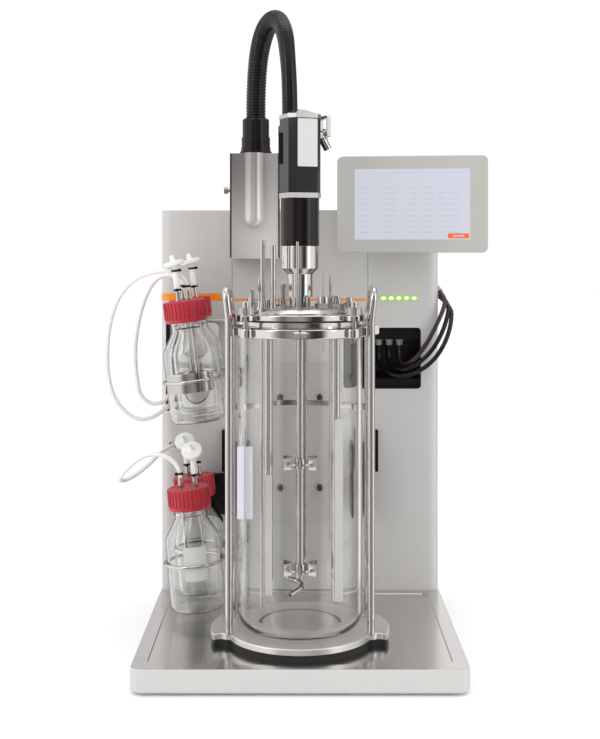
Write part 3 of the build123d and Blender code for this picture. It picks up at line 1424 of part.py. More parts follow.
# ---------------------------------------------------------------- cords
def make_cords():
    """The conduit hose, the sensor cables and the silicone tubes."""
    write_cord(HOSE_ROUTE, HOSE_D, "conduit_hose")
    for number, route in enumerate(CABLE_ROUTES, start=1):
        write_cord(route, CABLE_D, f"sensor_cable_{number}")
    write_cord(UPPER_OUTER_ROUTE, TUBE_D, "upper_outer_tube")
    write_cord(UPPER_INNER_ROUTE, TUBE_D, "upper_inner_tube")
    write_cord(LOWER_LOOP_ROUTE, TUBE_D, "lower_loop_tube")


make_base()
make_tower()
make_stripe_and_lights()
make_sensor_bay()
make_pumps()
make_tower_fittings()
make_conduit_bracket()
make_screen()
make_stand()
make_vessel()
make_clamp_ring()
make_clamp_knobs()
make_lid()
make_ports()
make_drive()
make_stirrer()
make_bottles()
make_cords()
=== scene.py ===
"""Finishes and fine detail of a bench bioreactor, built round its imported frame.

Sizes in the classes are millimetres unless a name says otherwise; Blender's own are metres.
"""

import logging
import math
from dataclasses import dataclass
from enum import Enum
from typing import Any, Iterable, Optional, Sequence

import bmesh
import bpy
from mathutils import Matrix, Vector


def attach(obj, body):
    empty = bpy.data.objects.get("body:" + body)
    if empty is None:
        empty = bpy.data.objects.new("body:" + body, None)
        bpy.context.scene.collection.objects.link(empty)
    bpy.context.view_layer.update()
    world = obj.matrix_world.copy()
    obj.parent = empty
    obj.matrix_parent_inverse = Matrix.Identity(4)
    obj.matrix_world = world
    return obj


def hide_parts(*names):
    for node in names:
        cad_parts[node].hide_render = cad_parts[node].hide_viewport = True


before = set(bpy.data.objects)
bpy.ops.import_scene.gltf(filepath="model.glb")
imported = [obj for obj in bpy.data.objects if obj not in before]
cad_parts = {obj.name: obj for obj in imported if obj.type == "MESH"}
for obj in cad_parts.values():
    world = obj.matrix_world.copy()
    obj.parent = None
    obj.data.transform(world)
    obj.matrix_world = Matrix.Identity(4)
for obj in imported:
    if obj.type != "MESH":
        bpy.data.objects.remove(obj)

LOG = logging.getLogger("bioreactor")
MM = 0.001
SQUARE = ((1, 1), (-1, 1), (-1, -1), (1, -1))
Point = tuple[float, float, float]
Tree, Node, Socket = bpy.types.NodeTree, bpy.types.Node, bpy.types.NodeSocket
Mesh, Piece = bpy.types.Mesh, bpy.types.Object


# ---- small helpers
def linear(colour: str) -> tuple[float, float, float, float]:
    """Turns an sRGB hex colour into linear light.

    Args:
        colour: Six hex digits after a hash.

    Returns:
        Red, green and blue in linear light, and full alpha.
    """
    parts = [int(colour[i : i + 2], 16) / 255 for i in (1, 3, 5)]
    red, green, blue = (c / 12.92 if c <= 0.04045 else ((c + 0.055) / 1.055) ** 2.4 for c in parts)
    return red, green, blue, 1.0


def set_inputs(node: Node, inputs: dict[Any, Any]) -> None:
    """Sets a node's inputs, each to a value or to the socket that it comes from.

    Args:
        node: The node.
        inputs: Values and sockets by the input's name or number.
    """
    for name, value in inputs.items():
        if isinstance(value, Socket):
            node.id_data.links.new(value, node.inputs[name])
        else:
            node.inputs[name].default_value = value


def add_node(
    tree: Tree, kind: str, inputs: Optional[dict[Any, Any]] = None, **settings: Any
) -> Node:
    """Adds a node with its settings, values and links.

    Args:
        tree: The tree that gets the node.
        kind: The node's type.
        inputs: By input name or number, either a value or the socket to link from.
        settings: The node's own properties.

    Returns:
        The new node.
    """
    node = tree.nodes.new(kind)
    for name, value in settings.items():
        setattr(node, name, value)
    set_inputs(node, inputs or {})
    return node


def placed(name: str, data: bpy.types.ID) -> Piece:
    """Puts a new object into the scene.

    Args:
        name: Its name.
        data: Its mesh, curve, light or camera.

    Returns:
        The object.
    """
    made = bpy.data.objects.new(name, data)
    bpy.context.collection.objects.link(made)
    return made


def moved(x: float, y: float, z: float) -> Matrix:
    """Returns a shift given in millimetres."""
    return Matrix.Translation((x * MM, y * MM, z * MM))


def rotated(degrees: float, axis: str) -> Matrix:
    """Returns a turn about one axis."""
    return Matrix.Rotation(math.radians(degrees), 4, axis)


def leaning(x: float, y: float, z: float, lean: float = 0.0) -> Matrix:
    """Stands a piece at a place in millimetres, leaning to the left by so many degrees."""
    return moved(x, y, z) @ rotated(-lean, "Y")


def facing_front(x: float, y: float, z: float, turn: float = 0.0) -> Matrix:
    """Stands a piece with X to the right, Y up and Z to the operator, then turns it round."""
    return moved(x, y, z) @ rotated(turn, "Z") @ rotated(90, "X")


# ---- finishes
# Detail and roughness of the noise behind a mottle and a grain, and the part of it that is used.
MOTTLE_NOISE = (3.0, 0.6)
GRAIN_NOISE = (2.0, 0.5)
GRAIN_RANGE = (0.3, 0.7)
SMOOTHEST = 0.02
COAT_ROUGHNESS = 0.05


@dataclass(frozen=True)
class Finish:
    """A surface as it was made: what it is, its colours and its fine texture.

    The mottle is a slow change of colour over mottle_mm. The grain is a fine change of gloss and
    relief over grain_mm, pulled out along an axis by streak where a tool or a roller drew it. A
    real grain that is too fine to show is drawn here as coarse as it needs to show.
    """

    name: str
    slot: str
    colour: str
    shade: str
    roughness: float
    rough_spread: float = 0.04
    metallic: float = 0.0
    coat: float = 0.0
    mottle_mm: float = 60.0
    grain_mm: float = 0.8
    grain_depth_mm: float = 0.02
    streak: Point = (1.0, 1.0, 1.0)
    specular: float = 0.5

    def material(self) -> bpy.types.Material:
        """Makes this finish's material the first time it is asked for.

        Returns:
            The material.
        """
        made = bpy.data.materials.get(self.name)
        if made is None:
            made = bpy.data.materials.new(self.name)
            made.use_nodes = True
            tree = made.node_tree
            shader = tree.nodes["Principled BSDF"]
            plain = {
                "Metallic": self.metallic, "Specular IOR Level": self.specular,
                "Coat Weight": self.coat, "Coat Roughness": COAT_ROUGHNESS,
            }
            set_inputs(shader, plain)
            self.texture(tree, shader)
            self.finish_shader(tree, shader)
        return made

    def texture(self, tree: Tree, shader: Node) -> None:
        """Drives colour, roughness and relief from noise in the piece's own space.

        Args:
            tree: The material's nodes.
            shader: The surface shader.
        """
        place = add_node(tree, "ShaderNodeTexCoord").outputs["Object"]
        stretch = {"Vector": place, "Scale": self.streak}
        drawn = add_node(tree, "ShaderNodeMapping", stretch).outputs[0]
        slow, fine = (
            add_node(
                tree, "ShaderNodeTexNoise",
                {"Vector": where, "Scale": 1 / (size * MM), "Detail": detail, "Roughness": rough},
            ).outputs["Fac"]
            for where, size, (detail, rough) in (
                (place, self.mottle_mm, MOTTLE_NOISE), (drawn, self.grain_mm, GRAIN_NOISE),
            )
        )
        mottle = {"Factor": slow, 6: linear(self.colour), 7: linear(self.shade)}
        gloss = {
            "Value": fine, "From Min": GRAIN_RANGE[0], "From Max": GRAIN_RANGE[1],
            "To Min": max(self.roughness - self.rough_spread, SMOOTHEST),
            "To Max": self.roughness + self.rough_spread,
        }
        relief = {"Height": fine, "Strength": 1.0, "Distance": self.grain_depth_mm * MM}
        driven = {
            "Base Color": add_node(tree, "ShaderNodeMix", mottle, data_type="RGBA").outputs[2],
            "Roughness": add_node(tree, "ShaderNodeMapRange", gloss).outputs[0],
            "Normal": add_node(tree, "ShaderNodeBump", relief).outputs[0],
        }
        set_inputs(shader, driven)

    def finish_shader(self, tree: Tree, shader: Node) -> None:
        """Sets what only this kind of finish has; a plain one adds nothing."""

    def dress(self, piece: Piece) -> Piece:
        """Puts this finish on every slot of a piece.

        Args:
            piece: The piece.

        Returns:
            The same piece.
        """
        made = self.material()
        if not piece.material_slots:
            piece.data.materials.append(made)
        for slot in piece.material_slots:
            slot.material = made
        return piece


@dataclass(frozen=True)
class ClearGlass(Finish):
    """Blown or drawn glass that lets lamps through, as thin clear glass does."""

    ior: float = 1.47
    shadow: float = 0.03

    def finish_shader(self, tree: Tree, shader: Node) -> None:
        """Makes the shader glass and thins its shadow.

        Args:
            tree: The material's nodes.
            shader: The surface shader.
        """
        set_inputs(shader, {"Transmission Weight": 1.0, "IOR": self.ior})
        shaded = add_node(tree, "ShaderNodeLightPath").outputs["Is Shadow Ray"]
        pale = 1.0 - self.shadow
        through = add_node(tree, "ShaderNodeBsdfTransparent", {"Color": (pale, pale, pale, 1)})
        both = {0: shaded, 1: shader.outputs[0], 2: through.outputs[0]}
        mixed = add_node(tree, "ShaderNodeMixShader", both).outputs[0]
        set_inputs(tree.nodes["Material Output"], {"Surface": mixed})


@dataclass(frozen=True)
class SoftRubber(Finish):
    """Silicone that light sinks into before it comes out again."""

    depth_mm: float = 2.0
    share: float = 0.5
    warmth: Point = (1.0, 0.95, 0.9)

    def finish_shader(self, tree: Tree, shader: Node) -> None:
        """Lets light into the body of the tube."""
        inner = {"Weight": self.share, "Radius": self.warmth, "Scale": self.depth_mm * MM}
        set_inputs(shader, {f"Subsurface {name}": value for name, value in inner.items()})


@dataclass(frozen=True)
class PaintedShadeSheet(Finish):
    """Brushed sheet with painted shade: its colour darkens towards its top and its left edge."""

    top: float = 620.0
    foot: float = 500.0
    left: float = -93.0
    right: float = -35.0
    painted_shade_depth: float = 0.74
    top_share: float = 0.6
    left_share: float = 0.4

    def finish_shader(self, tree: Tree, shader: Node) -> None:
        """Paints shade into the colour along two slow gradients.

        Args:
            tree: The material's nodes.
            shader: The surface shader.
        """
        place = add_node(tree, "ShaderNodeTexCoord").outputs["Object"]
        axes = add_node(tree, "ShaderNodeSeparateXYZ", {0: place}).outputs
        upwards, leftwards = (
            add_node(
                tree, "ShaderNodeMapRange",
                {"Value": axes[axis], "From Min": start * MM, "From Max": stop * MM},
                interpolation_type="SMOOTHSTEP",
            ).outputs[0]
            for axis, start, stop in (("Z", self.foot, self.top), ("X", self.right, self.left))
        )
        side = add_node(
            tree, "ShaderNodeMath", {0: leftwards, 1: self.left_share}, operation="MULTIPLY"
        ).outputs[0]
        # Painted shade: the sheet's colour is multiplied darker towards its top and its left edge.
        painted_shade_mask = add_node(
            tree, "ShaderNodeMath", {0: upwards, 1: self.top_share, 2: side},
            operation="MULTIPLY_ADD", use_clamp=True,
        ).outputs[0]
        light = 1.0 - self.painted_shade_depth
        tinted = {
            "Factor": painted_shade_mask, 6: shader.inputs["Base Color"].links[0].from_socket,
            7: (light, light * 0.97, light * 0.95, 1.0),
        }
        shaded_colour = add_node(
            tree, "ShaderNodeMix", tinted, data_type="RGBA", blend_type="MULTIPLY"
        ).outputs[2]
        set_inputs(shader, {"Base Color": shaded_colour})


@dataclass(frozen=True)
class Glow(Finish):
    """A lit lens or display."""

    light: str = "#FFFFFF"
    strength: float = 1.0

    def finish_shader(self, tree: Tree, shader: Node) -> None:
        """Adds the light that comes through."""
        glow = {"Emission Color": linear(self.light), "Emission Strength": self.strength}
        set_inputs(shader, glow)


class Finishes(Enum):
    """Every finish on the unit."""

    # Injection-moulded PC-ABS with a fine spark texture: satin, almost flat colour; drawn darker
    # than the base as painted shade on the tower.
    HOUSING = Finish("moulded_pc_abs_light_grey", "housing_plastic", "#C6C4C2", "#C2C0BE", 0.42)
    # The same resin, smoother, so its top edge catches a thin highlight; that it is drawn lighter
    # than the tower's housing is painted light.
    BASE = Finish("moulded_pc_abs_white_grey", "housing_plastic", "#CFCDCB", "#CBC9C7", 0.36)
    # Powder coat over steel: a soft orange-peel skin.
    REAR = Finish(
        "powder_coated_steel_grey", "rear_metal", "#C4C2BF", "#BCBAB7", 0.5, grain_mm=1.6,
        grain_depth_mm=0.05,
    )
    # Moulded rubber: near black and dull, with no clear highlight.
    FOOT = Finish("moulded_nitrile_rubber", "foot_rubber", "#1B1A1A", "#262524", 0.7, grain_mm=0.6)
    # Cold-rolled 304 sheet with a bright finish: long faint roller streaks.
    TRAY = Finish(
        "bright_rolled_stainless_sheet", "tray_steel", "#DAD8D6", "#CECCCA", 0.2, 0.05,
        metallic=1.0, mottle_mm=140.0, grain_mm=0.5, grain_depth_mm=0.002, streak=(1.0, 0.04, 1.0),
    )
    # Cast film: one even orange with a thin gloss.
    STRIPE = Finish(
        "cast_vinyl_film_orange", "orange_film", "#FF8F0A", "#F78700", 0.28, coat=0.4, grain_mm=3.0,
    )
    # Tinted acrylic: glossy, and only just lit from behind.
    LENS = Glow(
        "tinted_acrylic_lens", "light_lens", "#AEDA46", "#A4D03C", 0.18, coat=0.3, light="#B4E04A",
        strength=0.1,
    )
    # A lit lamp behind the lens: almost white, brighter than its surround.
    LAMP = Glow(
        "lit_acrylic_lamp", "light_lens", "#FFFFF4", "#F4FFE8", 0.2, light="#FAFFE9", strength=0.35,
    )
    # Polished mould, black resin: deep black with small sharp highlights.
    BLACK_MOULDING = Finish(
        "moulded_abs_gloss_black", "black_moulding", "#131011", "#1A1617", 0.24, grain_mm=1.2,
        grain_depth_mm=0.01, specular=0.2,
    )
    # Turned polyamide: mid grey with a soft sheen.
    SOCKET = Finish(
        "turned_grey_polyamide", "socket_plastic", "#B9B8B4", "#A3A29E", 0.4, grain_mm=0.5,
    )
    # Moulded resin drawn the whitest on the unit: painted light for the bright glow behind the
    # bottles; satin.
    PUMP = Finish("white_resin_painted_light", "housing_plastic", "#F2F1F0", "#EEEDEC", 0.35)
    # Unfilled acetal: off-white and slightly waxy.
    ROTOR = Finish("moulded_acetal_natural", "rotor_plastic", "#D6D5D3", "#CDCCCA", 0.4)
    # Sheet brushed across: it holds a broad soft glow and no mirror image.
    PLATE = Finish(
        "brushed_stainless_plate", "plate_steel", "#CFCDCA", "#C6C4C1", 0.34, 0.03, metallic=0.35,
        grain_mm=0.35, grain_depth_mm=0.002, streak=(0.05, 1.0, 1.0),
    )
    # Cold-headed steel: small bright highlights on darker faces.
    SCREW = Finish(
        "cold_headed_a2_steel", "screw_steel", "#B4B2AF", "#9C9A97", 0.25, metallic=1.0,
        grain_mm=0.4,
    )
    # Blackened socket screws: dull, almost black, with worn grey edges.
    BOLT = Finish(
        "black_oxide_socket_screw", "screw_steel", "#4C4744", "#332F2E", 0.38, 0.1, metallic=0.7,
        grain_mm=1.2,
    )
    # Ground 304 plate: fine concentric haze, so it glows rather than mirrors.
    GROUND = Finish(
        "ground_stainless_plate", "polished_steel", "#E2DFDB", "#D6D3CF", 0.36, 0.06, metallic=0.75,
        mottle_mm=45.0, grain_mm=0.5, grain_depth_mm=0.004,
    )
    # Bare strips hung in the broth: matt from blasting, so they read as pale bars.
    STRIP = Finish(
        "bead_blasted_steel_strip", "polished_steel", "#E2DFDB", "#D8D5D1", 0.5, metallic=0.1,
        mottle_mm=25.0,
    )
    # Polished, then satin finished: bright, with softened reflections.
    CROWN = Finish(
        "satin_polished_steel", "polished_steel", "#BEBBB7", "#ACA9A5", 0.24, 0.06, metallic=1.0,
        mottle_mm=22.0, grain_mm=1.2, grain_depth_mm=0.006,
    )
    # Fine brushed sheet: almost white, with painted shade that darkens it towards its top left.
    BRACKET = PaintedShadeSheet(
        "brushed_sheet_steel", "bracket_steel", "#F0ECE8", "#E4E0DC", 0.3, 0.06, metallic=0.45,
        mottle_mm=70.0, grain_mm=0.5, grain_depth_mm=0.0008,
    )
    # Powder coat: mid grey and satin, a shade darker than the housings.
    ARM = Finish("powder_coated_arm_grey", "arm_metal", "#A9A7A3", "#9D9B97", 0.45, grain_mm=1.4)
    # Moulded resin: warm grey and smooth, with a wide soft highlight.
    BEZEL = Finish("moulded_abs_warm_grey", "bezel_plastic", "#BAB8B3", "#B4B2AD", 0.34)
    # Glass over a lit panel: an even pale glow under a gloss.
    DISPLAY = Glow(
        "bonded_glass_display", "display_glass", "#8E909A", "#8A8C96", 0.1, light="#DDE0EA",
        strength=0.5,
    )
    # Electropolished 316L: mirror-bright, with the least trace of waviness.
    POLISHED = Finish(
        "electropolished_316l_steel", "polished_steel", "#CFCCC8", "#C2BFBB", 0.09, 0.04,
        metallic=1.0, mottle_mm=35.0, grain_mm=2.5, grain_depth_mm=0.006,
    )
    # Drawn tube: long highlights that run along each probe.
    PROBE = Finish(
        "drawn_316l_tube", "probe_steel", "#C9C6C2", "#B6B3AF", 0.14, 0.05, metallic=1.0,
        mottle_mm=20.0, grain_mm=0.8, grain_depth_mm=0.003, streak=(1.0, 1.0, 0.05),
    )
    # Brushed spring steel: bright streaks along the bottle's height.
    BAND = Finish(
        "brushed_spring_steel", "polished_steel", "#C4C1BC", "#A9A6A1", 0.16, 0.05, metallic=1.0,
        mottle_mm=30.0, grain_mm=0.6, grain_depth_mm=0.002, streak=(1.0, 1.0, 0.05),
    )
    # Knurled steel: glitter on the ridges.
    KNOB = Finish(
        "knurled_316_steel", "knob_steel", "#D0CDC9", "#B9B6B2", 0.18, metallic=1.0, grain_mm=0.5,
    )
    # Drawn tube: clear and colourless, with reflections barely bent by the wall's slow waves.
    VESSEL = ClearGlass(
        "drawn_borosilicate_tube", "vessel_glass", "#FDFDFC", "#FBFBFA", 0.015, 0.01,
        mottle_mm=90.0, grain_mm=60.0, grain_depth_mm=0.05,
    )
    # Blown glass: clear, with uneven walls that bend what is seen through them.
    BOTTLE = ClearGlass(
        "blown_borosilicate_bottle", "bottle_glass", "#FEFEFD", "#FDFDFC", 0.02, 0.01,
        mottle_mm=40.0, grain_mm=18.0, grain_depth_mm=0.12,
    )
    # Moulded rubber: a dark dull line between bright metals.
    GASKET = Finish("moulded_epdm_rubber", "gasket_rubber", "#3A3836", "#2C2A29", 0.6)
    # Moulded polypropylene: strong red with a waxy sheen on each rib.
    CAP = Finish(
        "moulded_polypropylene_red", "red_caps", "#B92536", "#AC1E2F", 0.33, coat=0.1, grain_mm=0.7,
        grain_depth_mm=0.01,
    )
    # Moulded polypropylene: plain white and satin.
    FILTER = Finish(
        "moulded_polypropylene_white", "white_filter", "#F0F0EC", "#E6E6E2", 0.4, grain_mm=0.8,
    )
    # Anodised and polished: deep black with long sharp highlights.
    MOTOR = Finish(
        "black_anodised_gloss_case", "motor_black", "#140F10", "#191415", 0.14, grain_mm=1.5,
        grain_depth_mm=0.006, specular=0.28,
    )
    # Machined aluminium: bright, with fine upright tool lines.
    ALLOY = Finish(
        "machined_aluminium", "motor_alloy", "#C6C3BF", "#B3B0AC", 0.24, metallic=1.0, grain_mm=0.4,
        grain_depth_mm=0.004, streak=(1.0, 1.0, 0.1),
    )
    # Corrugated polyamide: black, with a thin highlight on each ring.
    HOSE = Finish(
        "corrugated_polyamide_hose", "hose_rubber", "#151112", "#1D1819", 0.16, 0.03, coat=0.08,
        grain_mm=2.0, specular=0.22,
    )
    # Extruded sheath: black and smooth, with one long highlight.
    CABLE = Finish(
        "extruded_pvc_sheath_black", "cable_rubber", "#131011", "#1A1617", 0.25, grain_mm=1.5,
        grain_depth_mm=0.008, specular=0.35,
    )
    # The same sheath in brown, a little glossier.
    BROWN_CABLE = Finish(
        "extruded_pvc_sheath_brown", "cable_rubber", "#3A2A24", "#30221E", 0.3, coat=0.2,
        grain_mm=1.5,
    )
    # Grey ink lit from behind: only a little darker than the display.
    SCREEN_MARK = Glow(
        "display_grey_ink", "display_glass", "#888A95", "#848691", 0.12, light="#D0D3E1",
        strength=0.48,
    )
    # Orange ink lit from behind: the display's one strong colour.
    SCREEN_BUTTON = Glow(
        "display_orange_ink", "display_glass", "#B04A20", "#AA441C", 0.12, light="#F26A35",
        strength=0.6,
    )
    # Printed card: pale, cool and matt.
    TAG = Finish("printed_polyester_card", "white_filter", "#DCDAE2", "#D6D4DC", 0.35, grain_mm=0.9)
    # Polyester label: pale grey with a low gloss.
    LABEL = Finish(
        "printed_polyester_label", "white_filter", "#CFCFCE", "#C8C8C7", 0.3, grain_mm=0.9,
    )
    # Cured silicone: milky white, lit from within at its edges.
    SILICONE = SoftRubber(
        "platinum_cured_silicone", "silicone", "#EDEBEA", "#E9E7E6", 0.4, grain_mm=6.0,
        grain_depth_mm=0.004,
    )

    @property
    def slot(self) -> str:
        """The record's slot that this finish belongs to."""
        return self.value.slot

    def dress(self, piece: Piece) -> Piece:
        """Puts this finish on a piece."""
        return self.value.dress(piece)


CARRIED: dict[Finishes, tuple[str, ...]] = {
    Finishes.HOUSING: ("tower_housing", "tower_centre_panel"),
    Finishes.PUMP: ("pump_moulding",),
    Finishes.BASE: ("base_housing",),
    Finishes.REAR: ("rear_panel",),
    Finishes.FOOT: ("base_feet", "foot_pad"),
    Finishes.TRAY: ("drip_tray",),
    Finishes.STRIPE: ("accent_strip",),
    Finishes.LENS: ("status_light_strip",),
    Finishes.BLACK_MOULDING: ("sensor_bay_liner", "dock_fittings", "conduit_gland"),
    Finishes.SOCKET: ("sensor_sockets",),
    Finishes.ROTOR: ("pump_rotor_lower", "pump_rotor_upper"),
    Finishes.PLATE: ("vessel_back_plate",),
    Finishes.SCREW: ("bracket_thumbscrew", "clamp_bolts"),
    Finishes.BOLT: ("panel_screws",),
    Finishes.GROUND: ("foot_plate",),
    Finishes.BRACKET: ("conduit_bracket",),
    Finishes.ARM: ("screen_arm", "screen_swivel_block"),
    Finishes.BEZEL: ("screen_housing",),
    Finishes.DISPLAY: ("screen_glass",),
    Finishes.POLISHED: (
        "hoop_handles", "clamp_ring", "lid", "port_fittings", "drive_hub", "motor_adapter",
        "stirrer_shaft", "rushton_impellers", "bottle_holders", "vessel_back_stay",
    ),
    Finishes.PROBE: ("lid_probes", "sparger_pipe", "cap_ports"),
    Finishes.KNOB: ("clamp_knob_1", "clamp_knob_2", "clamp_knob_3", "clamp_knob_4"),
    Finishes.GASKET: ("lid_gasket",),
    Finishes.MOTOR: ("gearbox_body", "motor_body"),
    Finishes.ALLOY: ("motor_end_plates", "motor_connector", "connector_lever"),
}


def dress_carried_nodes() -> None:
    """Gives every node that is shown as it is its own finish."""
    for finish, names in CARRIED.items():
        for name in names:
            finish.dress(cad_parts[name])
    LOG.info("%d nodes dressed", sum(map(len, CARRIED.values())))


# ---- cords
@dataclass(frozen=True)
class Cord:
    """A hose, cable or tube that lies along a smooth line between two fittings."""

    name: str
    node: str
    finish: Finishes
    diameter: float
    length: float
    stiffness: str
    route: tuple[Point, ...]

    def line(self) -> Piece:
        """Draws the cord's centreline as one smooth spline.

        Returns:
            A curve object that has no thickness yet.
        """
        data = bpy.data.curves.new(self.name, "CURVE")
        data.dimensions = "3D"
        spline = data.splines.new("NURBS")
        spline.points.add(len(self.route) - 1)
        for point, (x, y, z) in zip(spline.points, self.route):
            point.co = (x * MM, y * MM, z * MM, 1.0)
        spline.order_u = 3
        spline.use_endpoint_u = True
        spline.resolution_u = 12
        return placed(self.name, data)

    def build(self) -> Piece:
        """Returns:
            The finished cord.
        """
        cord = self.line()
        cord.data.bevel_depth = self.diameter / 2 * MM
        cord.data.bevel_resolution = 6
        cord.data.use_fill_caps = True
        return self.declare(cord)

    def declare(self, cord: Piece, path: Optional[list[Point]] = None) -> Piece:
        """Dresses the cord, rides the unit, takes its node's place and logs its length.

        Args:
            cord: The cord in place.
            path: The centreline, for a cord that is a mesh; not used.

        Returns:
            The same cord.
        """
        self.finish.dress(cord)
        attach(cord, "unit")
        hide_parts(self.node)
        self.finish.slot
        LOG.info("%s: %.0f mm long", self.name, self.length)
        return cord


HOSE = Cord(
    "conduit_hose_ribbed", "conduit_hose", Finishes.HOSE, 27.0, 336.0, "stiff",
    (
        (-59.4, 84, 671), (-59.4, 84, 729), (-50, 60, 782), (-33, 16, 797),
        (-19, -22, 774), (-14.5, -42, 728), (-12.5, -47, 688), (-12.5, -47, 648),
    ),
)
CORDS = (
    Cord(
        "sensor_lead_upper", "sensor_cable_1", Finishes.BROWN_CABLE, 6.0, 175.0, "limp",
        (
            (138.6, 138, 362), (138.6, 138, 349), (138, 125, 338), (147, 108, 338),
            (161, 96, 351), (174, 93, 371), (186, 95, 394), (196, 103, 414), (200, 113, 428),
            (193, 123, 437),
        ),
    ),
    Cord(
        "sensor_lead_middle", "sensor_cable_2", Finishes.CABLE, 6.0, 207.0, "limp",
        (
            (124, 138, 362), (124, 138, 347), (126, 123, 333), (140, 104, 329), (160, 90, 340),
            (179, 86, 359), (193, 91, 383), (202, 105, 405), (205, 119, 421), (194, 132, 433),
        ),
    ),
    Cord(
        "sensor_lead_outer", "sensor_cable_3", Finishes.CABLE, 6.0, 245.0, "limp",
        (
            (109.5, 138, 362), (109.5, 138, 345), (114, 120, 328), (134, 98, 321), (160, 82, 330),
            (182, 78, 348), (198, 85, 373), (207, 104, 398), (209, 124, 416), (194, 141, 430),
        ),
    ),
    Cord(
        "feed_tube_outer", "upper_outer_tube", Finishes.SILICONE, 6.0, 375.0, "limp",
        (
            (-142.367, -9.106, 443.475), (-143.464, -9.106, 452.408), (-151, -10, 461.5),
            (-165, -11, 468.5), (-186, -8, 467), (-210, -2, 459), (-232, 8, 438), (-246, 20, 405),
            (-252.5, 34, 367), (-253.5, 47, 328), (-247, 58, 298), (-232, 65, 277),
            (-214, 70, 267), (-196, 76, 270), (-178, 90, 283), (-178, 108, 283),
        ),
    ),
    Cord(
        "feed_tube_inner", "upper_inner_tube", Finishes.SILICONE, 6.0, 277.0, "limp",
        (
            (-155.426, 54.838, 441.870), (-156.523, 54.838, 450.803), (-164, 56, 459.5),
            (-179, 58, 462), (-195, 60, 453), (-207, 62, 430), (-215, 64, 402), (-220, 66, 371),
            (-220, 67, 341), (-217, 68, 316), (-214, 70, 300), (-201, 73, 288), (-184.5, 78, 289),
            (-178, 90, 297), (-178, 108, 297),
        ),
    ),
    Cord(
        "feed_tube_lower", "lower_loop_tube", Finishes.SILICONE, 6.0, 249.0, "limp",
        (
            (-151.347, -16, 206.590), (-152.131, -16, 215.556), (-158, -16, 226),
            (-172, -15, 235), (-191, -13, 236.5), (-208, -9, 228), (-223, -2, 213),
            (-233, 9, 200), (-230, 24, 194), (-216, 40, 199), (-201, 56, 210), (-188, 73, 222),
            (-178, 87, 228.5), (-172, 99, 228.5), (-172, 114, 228.5),
        ),
    ),
)


def geometry_tree(name: str, inputs: dict[str, str]) -> tuple[Tree, Any]:
    """Starts a geometry tree whose inputs have names.

    Args:
        name: The tree's name.
        inputs: The kind of each input by name, besides the geometry and its material.

    Returns:
        The tree and its inputs' sockets.
    """
    tree = bpy.data.node_groups.new(name, "GeometryNodeTree")
    for socket, kind in {"Geometry": "Geometry", **inputs, "Material": "Material"}.items():
        tree.interface.new_socket(socket, in_out="INPUT", socket_type=f"NodeSocket{kind}")
    tree.interface.new_socket("Geometry", in_out="OUTPUT", socket_type="NodeSocketGeometry")
    return tree, add_node(tree, "NodeGroupInput").outputs


def close_tree(tree: Tree, geometry: Socket, material: Socket) -> None:
    """Makes a tree's geometry real, gives it its material and sends it out.

    Args:
        tree: The tree.
        geometry: What it has made.
        material: The material's socket.
    """
    solid = add_node(tree, "GeometryNodeRealizeInstances", {"Geometry": geometry}).outputs[0]
    looks = {"Geometry": solid, "Material": material}
    painted = add_node(tree, "GeometryNodeSetMaterial", looks).outputs[0]
    add_node(tree, "NodeGroupOutput", {"Geometry": painted})


